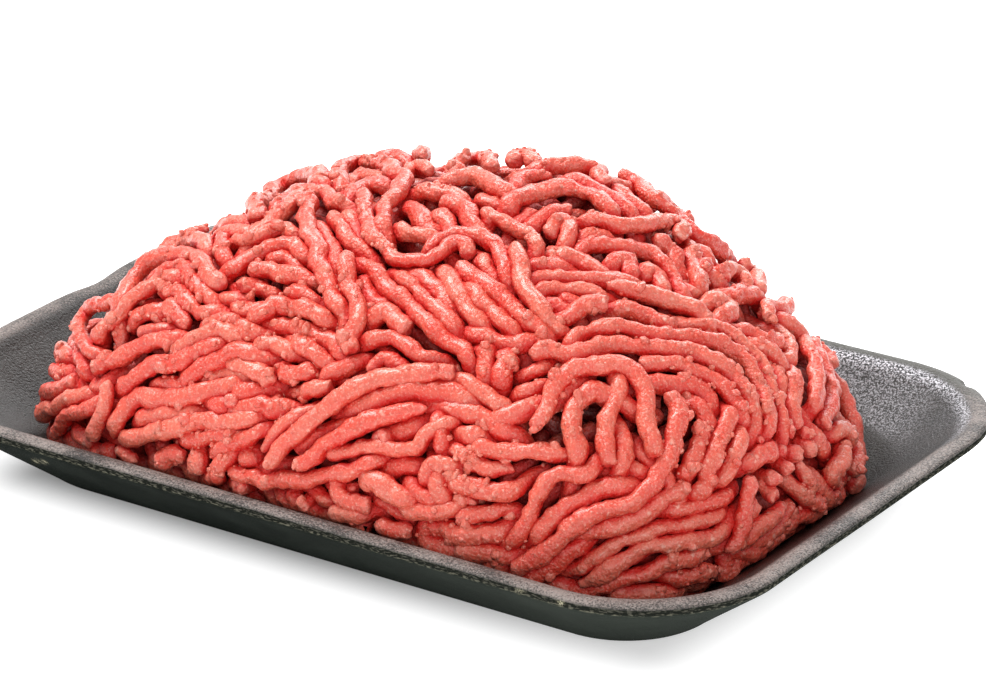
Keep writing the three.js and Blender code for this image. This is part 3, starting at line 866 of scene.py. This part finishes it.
# Moves the beads of all strands until they no longer cross: beads push each other apart, keep their distance
# along a strand, straighten a little, and return to their own depth under the outline.
def settle(strands, depths, holds):
    beads = np.concatenate(strands)
    owner = np.repeat(np.arange(len(strands)), [len(s) for s in strands])
    depth = np.concatenate(depths)
    hold = np.concatenate(holds)
    home = beads.copy()
    link = np.flatnonzero(owner[1:] == owner[:-1])
    inner = np.flatnonzero((owner[2:] == owner[:-2])) + 1
    ease = 1 / (1 + 2 * hold)
    crowd = strand["crowd"]
    highest = cadHigh.z / mm - strand["diameter"] / 2 - 0.9
    size = len(beads)
    for turn in range(easing["rounds"]):
        if turn % easing["pairRounds"] == 0:
            a, b = closePairs(beads, owner, crowd + easing["pairMargin"])
        apart = beads[a] - beads[b]
        distance = np.maximum(np.linalg.norm(apart, axis=1), 1e-6)
        push = np.maximum(0, crowd - distance)
        share = ease[a] + ease[b]
        move = apart * (easing["push"] * push / distance / share)[:, None]
        touching = np.bincount(a, push > 0, size) + np.bincount(b, push > 0, size)
        count = 1 + easing["crowded"] * touching
        for axis in range(3):
            gained = np.bincount(a, move[:, axis] * ease[a], size)
            shift = gained - np.bincount(b, move[:, axis] * ease[b], size)
            beads[:, axis] += shift / count
        for _ in range(2):
            gap = beads[link + 1] - beads[link]
            length = np.linalg.norm(gap, axis=1, keepdims=True)
            fix = gap * (easing["length"] * (length - strand["bead"]) / np.maximum(length, 1e-6))
            beads[link] += fix * 0.5
            beads[link + 1] -= fix * 0.5
        middle = 0.5 * (beads[inner - 1] + beads[inner + 1])
        beads[inner] += (middle - beads[inner]) * (easing["straighten"] * ease[inner])[:, None]
        beads += (home - beads) * (easing["home"] * hold)[:, None]
        beads += (ontoHeap(beads, depth) - beads) * easing["depth"]
        way = beads - heapMiddle
        far = np.linalg.norm(way, axis=1)
        limit = reach(unit(way)) - np.minimum(depth, strand["diameter"] / 2 - 0.6)
        beads = heapMiddle + way * np.minimum(1, limit / far)[:, None]
        lowest = trayTop(beads[:, 0], beads[:, 1]) + strand["diameter"] * 0.68
        beads[:, 2] = np.clip(beads[:, 2], lowest, highest)
    ends = np.cumsum([len(s) for s in strands])[:-1]
    return np.split(beads, ends)


# Pairs of beads nearer than a distance, other than neighbours along one strand
def closePairs(beads, owner, distance):
    found = []
    index = np.arange(len(beads))
    points = beads.astype(np.float32)
    for low in range(0, len(beads), 1500):
        part = points[low:low + 1500]
        square = (part**2).sum(1)[:, None] + (points**2).sum(1)[None] - 2 * part @ points.T
        a, b = np.nonzero(square < distance**2)
        found.append(np.stack([a + low, b]))
    a, b = np.concatenate(found, axis=1)
    keep = (a < b) & ((owner[a] != owner[b]) | (index[b] - index[a] > 3))
    return a[keep], b[keep]


# Cells of one millimetre that strands fill, each then averaged with its neighbours three times over, and the
# place of the first cell. They tell how closely meat surrounds any place, and so where shade is painted on
# it.
def filledRoom(lines):
    reachOf = int(strand["diameter"] / 2 + 1)
    span = np.arange(-reachOf, reachOf + 1)
    ball = np.stack(np.meshgrid(span, span, span, indexing="ij"), -1).reshape(-1, 3)
    ball = ball[np.linalg.norm(ball, axis=1) <= strand["diameter"] / 2]
    beads = np.concatenate([along(line, 1.2) for line in lines])
    low = np.floor(beads.min(0)) - 8
    cells = np.round(beads[:, None] + ball[None] - low).astype(int).reshape(-1, 3)
    room = np.zeros(cells.max(0) + 9, np.float32)
    room[tuple(cells.T)] = 1
    for _ in range(3):
        for axis in range(3):
            room = (np.roll(room, 1, axis) + room + np.roll(room, -1, axis)) / 3
    return room, low


# The room's filling at places, blended between the eight cells round each
def fillingAt(places, room, low):
    at = np.clip(places - low, 0, np.array(room.shape) - 1.001)
    base = np.floor(at).astype(int)
    part = at - base
    total = np.zeros(len(places))
    for corner in range(8):
        step = np.array([corner & 1, corner >> 1 & 1, corner >> 2 & 1])
        share = np.prod(np.where(step, part, 1 - part), axis=-1)
        total += share * room[tuple((base + step).T)]
    return total


tube = {
    "fine": (20, 0.75),  # sides, and length between rings
    "plain": (10, 1.7),
    "thickness": (0.88, 1.08),  # least and most, as shares of the strand's own
    "waver": 0.12,  # share by which its thickness changes
    "waverLength": 5.0,
    "kink": 1.2,  # how far its middle strays
    "kinkLength": 5.5,
    "pinched": 0.35,  # chance that an end narrows much
    "pinch": ((0.0, 0.12), (0.15, 0.5)),  # share by which an end narrows, and the same where it narrows much
    "pinchLength": 2.6,
    "grain": 0.95,  # height of the small grains on a strand
    "lump": 1.25,  # height of the larger lumps
    "ragged": 2.0,  # how unevenly an end is torn
    "tornLength": 1.4,
    "probe": 1.7,  # how far off the skin its surroundings are felt
}


# One strand's course: its middle strays and its thickness wavers by noise, and its ends narrow along a bell
# curve. A ring of half the thickness stands a little past each end. Gives the middles, the thicknesses, the
# ways ahead and how far each ring is from the nearer end.
def strandCourse(line, step, radius, key):
    path = along(line, step)
    stray = np.stack([latticeNoise(path, tube["kinkLength"], key + k) for k in range(3)], -1) - 0.5
    path = path + stray * tube["kink"]
    gone = np.arange(len(path)) * step
    left = gone[-1] - gone
    wave = latticeNoise(np.stack([gone, gone * 0, gone * 0], -1), tube["waverLength"], key)
    thick = radius * (1 + tube["waver"] * (2 * wave - 1)) * dice.uniform(*tube["thickness"])
    for run in (gone, left):
        isPinched = dice.uniform() < tube["pinched"]
        narrow = dice.uniform(*tube["pinch"][int(isPinched)])
        thick = thick * (1 - narrow * np.exp(-(run / tube["pinchLength"]) ** 2))
    ahead = unit(np.gradient(path, axis=0))
    caps = dice.uniform(0.1, 0.9, 2)
    path = np.concatenate([path[:1] - ahead[:1] * caps[0], path, path[-1:] + ahead[-1:] * caps[1]])
    thick = np.concatenate([thick[:1] * 0.5, thick, thick[-1:] * 0.5])
    thick[[1, -2]] *= 0.93
    ahead = np.concatenate([ahead[:1], ahead, ahead[-1:]])
    return path, thick, ahead, np.concatenate([[0], np.minimum(gone, left), [0]])


# A strand's skin: rings round its course, a little flattened, with noise added to the radius as grains and
# lumps, and the end rings shifted lengthwise by noise. Gives the points and the ways out from the course.
def strandSkin(path, thick, ahead, sides, key):
    turns = np.linspace(0, 2 * np.pi, sides, endpoint=False)
    side = unit(np.cross(ahead, unit(path - heapMiddle)) + 1e-6)
    up = np.cross(side, ahead)
    flat = dice.uniform(0.9, 1.04)
    wide, high = np.cos(turns)[None, :, None] / flat, np.sin(turns)[None, :, None] * flat
    around = side[:, None] * wide + up[:, None] * high
    skin = path[:, None] + around * thick[:, None, None]
    grains = latticeNoise(skin, 1.5, key) * 0.6 + latticeNoise(skin, 0.85, key + 1) * 0.4
    lumps = (latticeNoise(skin, 2.6, key + 2) - 0.5) * latticeNoise(skin, 9.0, key + 4)
    relief = tube["grain"] * (grains - 0.5) + tube["lump"] * lumps
    skin = skin + around * relief[..., None]
    ragged = (latticeNoise(skin, 1.5, key + 3) - 0.5) * tube["ragged"]
    for ring, share in ((0, 1.0), (1, 0.7), (-1, 1.0), (-2, 0.7)):
        skin[ring] += ahead[ring] * ragged[ring][:, None] * share
    return skin, around


# Tubes along lines: points, quads, triangles, attributes, and places on their skins with the ways out there.
# The attributes are a strand's own tone, nearness to a torn end, depth, and how closed in by meat a point is;
# the last two paint shade into its colour.
def strandTubes(lines, sides, step, radius, room):
    points, probes, quads, triangles, tones, torn, anchors = [], [], [], [], [], [], []
    total = 0
    for line in lines:
        key = int(dice.integers(1, 1 << 20))
        path, thick, ahead, fromEnd = strandCourse(line, step, radius, key)
        skin, around = strandSkin(path, thick, ahead, sides, key)
        ownPoints, ownQuads, ownTriangles = closedGrid(skin)
        beside = skin + around * tube["probe"]
        beside[0] -= ahead[0] * tube["probe"]
        beside[-1] += ahead[-1] * tube["probe"]
        points.append(ownPoints)
        probes.append(np.concatenate([beside.reshape(-1, 3), ownPoints[-2:]]))
        quads.append(ownQuads + total)
        triangles.append(ownTriangles + total)
        tones.append(np.full(len(ownPoints), dice.uniform()))
        torn.append(np.append(np.repeat(np.exp(-(fromEnd / tube["tornLength"]) ** 2), sides), [1, 1]))
        anchors.append(np.concatenate([skin[1:-1], around[1:-1]], -1).reshape(-1, 6))
        total += len(ownPoints)
    points = np.concatenate(points)
    way = points - heapMiddle
    buried = reach(unit(way)) - np.linalg.norm(way, axis=1)
    attributes = {
        "tone": np.concatenate(tones),
        "torn": np.concatenate(torn),
        "depth": np.clip((buried - 0.8) / 5.5, 0, 1),
        "occlusion": fillingAt(np.concatenate(probes), *room),
    }
    return points, np.concatenate(quads), np.concatenate(triangles), attributes, np.concatenate(anchors)


crumb = {
    "number": 2700,
    "small": 0.35,  # radius
    "large": 1.4,
    "sunk": 0.3,  # share of the radius that the middle lies under the skin
    "rows": 5,
    "columns": 8,
    "patch": 14.0,  # size of the patches that noise gathers them in
}


# Crumbs on the strands: lumpy balls sunk into the skin, where noise gathers them. The anchors are places on
# the strands' skins and the ways out from there.
def makeCrumbs(anchors, meat):
    place, out = anchors[:, :3], anchors[:, 3:]
    outwards = unit(place - heapMiddle)
    facing = np.sum(out * outwards, axis=1) > 0.2
    gathered = np.flatnonzero(facing & (latticeNoise(place, crumb["patch"], 41) > 0.5))
    chosen = gathered[dice.integers(0, len(gathered), crumb["number"])]
    count = len(chosen)
    size = crumb["small"] + (crumb["large"] - crumb["small"]) * dice.uniform(0, 1, count) ** 2.5
    centre = place[chosen] - out[chosen] * (size * crumb["sunk"])[:, None]
    rise = np.linspace(-np.pi / 2, np.pi / 2, crumb["rows"])
    turn = np.linspace(0, 2 * np.pi, crumb["columns"], endpoint=False)
    ball = np.stack([
        np.cos(rise)[:, None] * np.cos(turn),
        np.cos(rise)[:, None] * np.sin(turn),
        np.sin(rise)[:, None] * np.ones(len(turn)),
    ], -1)
    stretch = dice.uniform(0.7, 1.35, (count, 1, 1, 3))
    skin = centre[:, None, None] + ball[None] * stretch * size[:, None, None, None]
    lumps = latticeNoise(skin, 1.1, 17) - 0.5
    skin = skin + ball[None] * (lumps * 1.1 * size[:, None, None])[..., None]
    skin[:, [0, -1]] = skin[:, [0, -1]].mean(2, keepdims=True)
    each = crumb["rows"] * crumb["columns"]
    points = skin.reshape(-1, 3)
    clear = points[:, 2] > trayTop(points[:, 0], points[:, 1]) + 0.1
    clear &= points[:, 2] < cadHigh.z / mm - 0.2
    whole = clear.reshape(count, each).all(1)
    own = gridQuads(crumb["rows"], crumb["columns"])
    quads = own[None] + np.arange(count)[whole, None, None] * each
    used, quads = np.unique(quads, return_inverse=True)
    quads = quads.reshape(-1, 4)
    tones = np.repeat(dice.uniform(0.2, 1, count), each)[used]
    torn = np.repeat(dice.uniform(0.2, 1, count), each)[used]
    attributes = {"tone": tones, "torn": torn, "depth": tones * 0, "occlusion": tones * 0}
    return buildMesh("mince_crumbs", points[used], quads, np.zeros((0, 3), int), meat, attributes)


# Raw lean meat: pale grainy flesh with flecks of fat and painted glints where it is open, painted shade of
# deep red where meat closes it in, and darker painted shade further down
def meatFinish():
    finish = Finish("raw mince")
    tone = finish.attribute("tone")
    depth = finish.attribute("depth")
    torn = finish.attribute("torn")
    occlusion = finish.attribute("occlusion").ramp(0.1, 0.5)
    broad = finish.noise(8.0, 3.0, 0.6)
    fine = finish.noise(1.3, 3.0, 0.6)
    speck = finish.noise(0.5, 2.0, 0.6)
    grain = finish.cells(0.85, 0.3)
    paleness = (broad * 0.7 + tone * 0.3 + fine * 0.5 - 0.32).ramp(0.0, 1.0)
    lean = finish.mix(paleness, tint(212, 46, 30), tint(219, 116, 93))
    # Painted shade: the flesh turns deep red where other meat closes it in.
    lean = finish.mix(occlusion * 0.92, lean, tint(198, 10, 4))
    # Painted shade: darker still the deeper the skin lies under the heap's outline.
    shadedDeep = finish.mix(depth.ramp(0.0, 1.0) * 0.85, lean, tint(84, 4, 3))
    fat = (1 - (finish.cells(2.8) + fine * 0.3).ramp(0.2, 0.4)) * finish.noise(8.0, 2.0).ramp(0.45, 0.6)
    # Painted highlights: pale on the raised tops of the grains and in fine specks, as glints on wet meat;
    # torn ends paler too.
    glintsAndTornEnds = (1 - grain.ramp(0.05, 0.5)) * 0.12 + speck.ramp(0.54, 0.68) * 0.32 + torn * 0.12
    # Fat flecks and painted glints, held back where painted shade falls.
    pale = (glintsAndTornEnds + fat * 0.5) * (1 - depth * 0.8) * (1 - occlusion * 0.7)
    return finish.done({
        "Base Color": finish.mix(pale, shadedDeep, tint(240, 190, 172)),
        "Roughness": 0.24 + fine * 0.14 + occlusion * 0.25,
        "Normal": finish.bump(grain * -0.65 + speck * 0.6 + fine * 0.5, 0.42),
        "Specular IOR Level": 0.45,
        "Coat Weight": (1 - occlusion) * 0.3,
        "Coat Roughness": 0.18,
    })


# Pieces that the outer strands are split into, by bearing in degrees
regions = {
    "right": (-40, 30),
    "front": (-90, -40),
    "left_front": (-135, -90),
    "left": (-180, -135),
    "back_right": (30, 100),
    "back_left": (100, 180.1),
}


# All strands, settled: those near the outline, and those beneath them
def layStrands(radius):
    shown = [*leftEnd, *crownLeft, *crown, *rightEnd, *rainbow, *lowerRight, *lowerLeft]
    lifts = np.array([run[0] for run in shown])
    laid = [shownStrand(proud, pixels) for proud, *pixels in shown]
    layers = []
    for number, (laidDepth, depth, share) in enumerate(fill["layers"]):
        taken = laid if number == 0 else []
        layers.append((fillStrands(taken, radius + laidDepth, fill["seeds"] // share), radius + depth))
    endOns = [endOnStrand(pixel) for pixel in ends]
    tucked = [tuckUnder(*given) for given in zip(laid, radius - lifts, coveredEnds(laid, lifts))]
    for group, depth in layers:
        tucked += [tuckUnder(line, depth, dice.uniform(size=2) < tuck["chance"]) for line in group]
    strands = [line for line, depths in tucked]
    depths = [depths for line, depths in tucked]
    holds = [depth * 0 for depth in depths]
    for i in range(len(laid)):
        isOwn = depths[i] <= depths[i].min() + 0.01
        holds[i] = np.where(isOwn, easing["shownHold"], easing["tuckedHold"])
    filled = [len(group) for group, depth in layers]
    print("strands", len(laid), filled, "beads", sum(map(len, strands)))
    settled = settle(strands, depths, holds)
    print("strands settled")
    outer = len(laid) + len(layers[0][0])
    return settled[:outer] + endOns, settled[outer:]


def makeHeap():
    radius = strand["diameter"] / 2
    outer, beneath = layStrands(radius)
    meat = meatFinish()
    room = filledRoom(outer + beneath)
    bearings = [math.degrees(math.atan2(s[:, 1].mean(), s[:, 0].mean())) for s in outer]
    groups = {
        name: [s for s, b in zip(outer, bearings) if low <= b < high] for name, (low, high) in regions.items()
    }
    groups["beneath"] = beneath
    pieces, anchors = [], []
    for name, lines in groups.items():
        fineness = tube["plain" if name == "beneath" else "fine"]
        points, quads, triangles, attributes, skin = strandTubes(lines, *fineness, radius, room)
        pieces.append(buildMesh("strands_" + name, points, quads, triangles, meat, attributes))
        if name != "beneath":
            anchors.append(skin)
        print("strands", name, len(lines), "faces", 2 * len(quads) + len(triangles))
    pieces.append(makeCrumbs(np.concatenate(anchors), meat))
    pieces.append(makeCore(meat))
    for piece in pieces:
        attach(piece, "root")
        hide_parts("mince_heap")


core = {
    "depth": 12.5,
    "around": 180,
    "up": 60,
    "lump": 2.2,
    "lumpSize": 5.0,
    "lowest": -16.0,  # rise in degrees
}


# A lumpy dome under the strands, its lower part following the tray's inside, all in painted shade
def makeCore(meat):
    rise = np.linspace(core["lowest"], 89.9, core["up"])
    bearing = np.linspace(0, 360, core["around"], endpoint=False)
    way = wayOf(bearing[None, :], rise[:, None])
    lumps = latticeNoise(way * reach(way)[..., None], core["lumpSize"], 3)
    grid = way * (reach(way) - core["depth"] + core["lump"] * (lumps - 0.5) * 2)[..., None] + heapMiddle
    grid[..., 2] = np.maximum(grid[..., 2], trayTop(grid[..., 0], grid[..., 1]) + 0.5)
    points, quads, triangles = closedGrid(grid)
    each = np.ones(len(points))
    # Painted shade: full depth and full closing in give the core the darkest red.
    attributes = {"tone": each * 0.4, "torn": each * 0, "depth": each, "occlusion": each}
    return buildMesh("mince_core", points, quads, triangles, meat, attributes)


# Tray

# Points round a rounded rectangle at each inset: corners by turning, sides by moving from corner to corner
def trayRings(insets, heights):
    quarters, turns, parts = [], [], []
    radius = tray["cornerRadius"]
    arc = int(radius * math.pi / 2 / tray["aroundStep"])
    for quarter in range(4):
        side = tray["length"] if quarter % 2 == 0 else tray["width"]
        run = int((side - 2 * radius) / tray["aroundStep"])
        step = np.arange(arc + run)
        quarters.append(np.full(arc + run, quarter))
        turns.append(quarter + np.minimum(step / arc, 1))
        parts.append(np.maximum(step - arc, 0) / run)
    quarters, turns, parts = map(np.concatenate, (quarters, turns, parts))
    turns = turns * math.pi / 2
    corner = radius - tray["cornerTaper"] * insets[:, None]
    reachX = tray["length"] / 2 - insets[:, None] - corner
    reachY = tray["width"] / 2 - insets[:, None] - corner
    signX = np.array([1, -1, -1, 1, 1])
    signY = np.array([1, 1, -1, -1, 1])
    moveX = signX[quarters] * (1 - parts) + signX[quarters + 1] * parts
    moveY = signY[quarters] * (1 - parts) + signY[quarters + 1] * parts
    x = reachX * moveX + corner * np.cos(turns)
    y = reachY * moveY + corner * np.sin(turns)
    return np.stack([x, y, np.broadcast_to(heights[:, None], x.shape)], -1)


# The foam's finish on its skin, inside and on the rim, or on the darker wall outside, with painted glints on
# the far wall and cut edge, painted shade on the far rim, and painted light on the wall
def trayFinish(name, isWall):
    finish = Finish(name)
    edge = finish.attribute("edge")
    ridge = finish.attribute("ridge")
    lip = finish.attribute("lip")
    marks = finish.attribute("marks")
    broad = finish.noise(15.0, 3.0, 0.6)
    speck = finish.noise(0.6, 2.0, 0.7)
    fine = finish.noise(0.4, 2.0, 0.6)
    if isWall:
        # Painted light: the outer wall grows paler towards +X, as if lit from the right, with a broad random
        # mottle.
        rightLightAndMottle = finish.coordinate("X").ramp(-0.02, 0.1) * 0.7 + broad.ramp(0.35, 0.7) * 0.2
        plain = finish.mix(rightLightAndMottle, tint(8, 14, 10), tint(46, 51, 46))
        plain = finish.mix(speck.ramp(0.5, 0.75) * 0.1, plain, tint(80, 84, 74))
    else:
        base = finish.attribute("base")
        far = finish.attribute("far")
        sheen = finish.attribute("sheen")
        # Painted glints: bright specks where the sheen attribute is high, over the far inner wall.
        glint = finish.noise(0.42, 2.0, 0.6).ramp(0.42, 0.64)
        within = finish.mix(broad.ramp(0.3, 0.7), tint(22, 18, 16), tint(36, 30, 27))
        sparkle = finish.mix(glint, tint(22, 22, 25), tint(236, 236, 244))
        within = finish.mix(sheen, within, sparkle)
        bottom = finish.mix(broad.ramp(0.3, 0.7), tint(38, 42, 39), tint(66, 70, 66))
        within = finish.mix(base, within, bottom)
        rim = finish.mix((fine * 0.6 + broad * 0.4).ramp(0.4, 0.62), tint(38, 34, 32), tint(134, 123, 118))
        # Painted shade: the far rim is darker, as it catches less light.
        rim = finish.mix(far, rim, tint(58, 57, 50))
        plain = finish.mix(lip * (1 - sheen), within, rim)
    # The cut edge: dark broken foam with pale flecks stretched along the rim, which are painted glints, and
    # pale dashes of them along its ridge.
    squash = {0: finish.place, 1: (1.0, 1.0, 4.0)}
    flat = finish.add("ShaderNodeVectorMath", {"operation": "MULTIPLY"}, squash)
    glintFlakes = finish.add("ShaderNodeTexNoise", None, {"Vector": flat, "Scale": 800.0, "Detail": 3.0}, "Fac")
    edgeAndGlints = finish.mix(glintFlakes.ramp(0.48, 0.62), tint(26, 28, 24), tint(76, 75, 67))
    colour = finish.mix(edge * 0.9, plain, edgeAndGlints)
    colour = finish.mix(ridge * glintFlakes.ramp(0.5, 0.6) * 0.5, colour, tint(132, 130, 112))
    colour = finish.mix(marks * fine.ramp(0.42, 0.58), colour, tint(200, 194, 164))
    return finish.done({
        "Base Color": colour,
        "Roughness": (0.9 if isWall else 0.34) + speck * 0.15,
        "Normal": finish.bump(speck + fine * 0.35, 0.4),
        "Specular IOR Level": 0.04 if isWall else 0.34,
    })


# Marks on the tray, each at a pixel of the photograph
wear = {
    "nick": {"at": (971, 382), "width": 1.0, "depth": 0.9},
    "dimple": {"at": (95, 279), "width": 5.0, "depth": 0.9},
    "flecks": {"at": ((561, 603), (520, 591)), "size": 1.6},  # pale, on the cut edge
    "scuffs": {"at": ((36, 461), (44, 462)), "size": 1.1},  # pale, on the wall under it
    "frayed": 0.25,  # how far the cut edge is uneven
    "wavy": 0.35,  # how far the rim is
}
# Painted glints on the far inner wall: how strongly they show
sheen = {
    "mottle": 0.32,  # strength over the far wall
    "band": 0.7,  # strength along its top
    "bandInset": 4.7,
    "bandWidth": 1.3,
}


# How strongly painted glints show on the foam: over the far wall, less to its right end and foot, and most in
# a band on top
def sheenOf(inset, x, y):
    mottle = sheen["mottle"] * np.clip((90 - x) / 12, 0.3, 1) * np.clip(9 - inset / 2, 0, 1)
    band = sheen["band"] * np.exp(-((inset - sheen["bandInset"]) / sheen["bandWidth"]) ** 2)
    return (mottle + band) * np.clip((y - 32) / 20, 0, 1) * np.clip(inset / 1.2 - 2.2, 0, 1)


# Where points of the frame, in millimetres, are seen in the photograph
def pixelsOf(points):
    back, right, up, eye = cameraWays()
    off = points - eye
    scale = view["lens"] / view["film"] * photo["size"][0] / (off @ -back)
    width, height = photo["size"]
    return np.stack([off @ right * scale + width / 2, height / 2 - off @ up * scale], -1)


def makeTray():
    outside = undersideSection()
    section = np.concatenate([outside, innerSection])
    inset = section[:, :1]
    rings = trayRings(section[:, 0], section[:, 1])
    rows, columns = rings.shape[:2]
    row = np.arange(rows)[:, None]
    edgeStart, edgeEnd = len(outside) - 6, len(outside)
    onEdge = np.clip(np.minimum(row - edgeStart + 2, edgeEnd + 2 - row) / 2.0, 0, 1)
    rough = latticeNoise(rings, 2.2, 11) * 0.5 + latticeNoise(rings, 0.9, 12) * 0.5
    inwards = unit(np.concatenate([-rings[..., :2], np.zeros((rows, columns, 1))], -1))
    rings = rings + inwards * (onEdge * wear["frayed"] * rough)[..., None]
    waves = latticeNoise(rings, 26.0, 13)
    rings[..., 2] -= np.clip(rings[..., 2] - 8, 0, 12) / 12 * wear["wavy"] * waves
    rimRow = rings[edgeEnd]
    rimPixels = pixelsOf(rimRow)
    for mark in (wear["nick"], wear["dimple"]):
        place = rimRow[np.argmin(np.linalg.norm(rimPixels - mark["at"], axis=1))]
        near = np.exp(-0.5 * (np.linalg.norm(rings - place, axis=-1) / mark["width"]) ** 2)
        rings += (inwards * 0.8 + np.array([0, 0, -0.6])) * (near * mark["depth"])[..., None]
    pixels = pixelsOf(rings)
    front = (rings[..., 1] < 0) | (rings[..., 0] > 0)
    onWall = (row >= edgeStart - 22) & (row <= edgeStart - 4)
    marks = np.zeros((rows, columns))
    for mark, where in ((wear["flecks"], row >= edgeStart - 1), (wear["scuffs"], onWall)):
        for place in mark["at"]:
            near = np.exp(-0.5 * (np.linalg.norm(pixels - place, axis=-1) / mark["size"]) ** 2)
            marks = np.maximum(marks, near * where * (row <= edgeEnd) * front)
    inside = row > edgeEnd
    bands = {
        "edge": np.clip(np.minimum(row - edgeStart, edgeEnd - row) / 1.5 + 0.5, 0, 1),
        "ridge": np.exp(-0.5 * ((row - edgeStart) / 0.6) ** 2),
        "lip": np.clip((5.4 - inset) / 1.6, 0, 1),
        "base": np.clip((inset - tray["baseInset"] + 8) / 6, 0, 1) * inside,
        # The far rim, where shade is painted
        "far": np.clip((rings[..., 1] - tray["width"] / 2 + 14) / 8, 0, 1),
        "sheen": sheenOf(inset, rings[..., 0], rings[..., 1]) * inside,
        "marks": marks,
    }
    attributes = {
        name: np.append(np.broadcast_to(band, (rows, columns)), [0, 0]) for name, band in bands.items()
    }
    points, quads, triangles = closedGrid(rings)
    piece = buildMesh("tray", points, quads, triangles, trayFinish("foam skin", False), attributes)
    piece.data.materials.append(trayFinish("foam wall", True))
    outer = np.arange(len(piece.data.polygons)) < (edgeEnd - 1) * columns
    piece.data.polygons.foreach_set("material_index", outer.astype(np.int32))
    print("tray faces", 2 * rows * columns)
    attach(piece, "root")
    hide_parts("foam_tray")


# The floor glows faintly, less so close round the tray and least at its left, so that a painted soft shadow
# is left.
def makeFloor():
    finish = Finish("floor")
    halves = {"X": tray["length"] / 2 - tray["baseInset"], "Y": tray["width"] / 2 - tray["baseInset"]}
    x, y = ((finish.coordinate(axis).math("ABSOLUTE") - half * mm).math("MAXIMUM", 0.0)
            for axis, half in halves.items())
    away = (x * x + y * y).math("SQRT")
    left, right = ((share, share, share, 1.0) for share in studio["glowNear"])
    near = finish.mix(finish.coordinate("X").ramp(-0.01, 0.09), left, right)
    glow = finish.mix(away.ramp(0.0, studio["glowReach"]), near, (1.0, 1.0, 1.0, 1.0))
    speck = finish.noise(40.0, 2.0)
    material = finish.done({
        "Base Color": finish.mix(speck * 0.02, (*studio["floor"], 1.0), (0.9, 0.9, 0.9, 1.0)),
        "Roughness": 0.75,
        "Specular IOR Level": 0.2,
        "Emission Color": glow,
        "Emission Strength": studio["glow"],
    })
    far = 4000.0
    corners = np.array([[-far, -far, 0], [far, -far, 0], [far, far, 0], [-far, far, 0]])
    buildMesh("floor", corners, [[0, 1, 2, 3]], np.zeros((0, 3), int), material)


placeCamera()
lightStudio()
makeFloor()
print("stage made")
makeTray()
makeHeap()
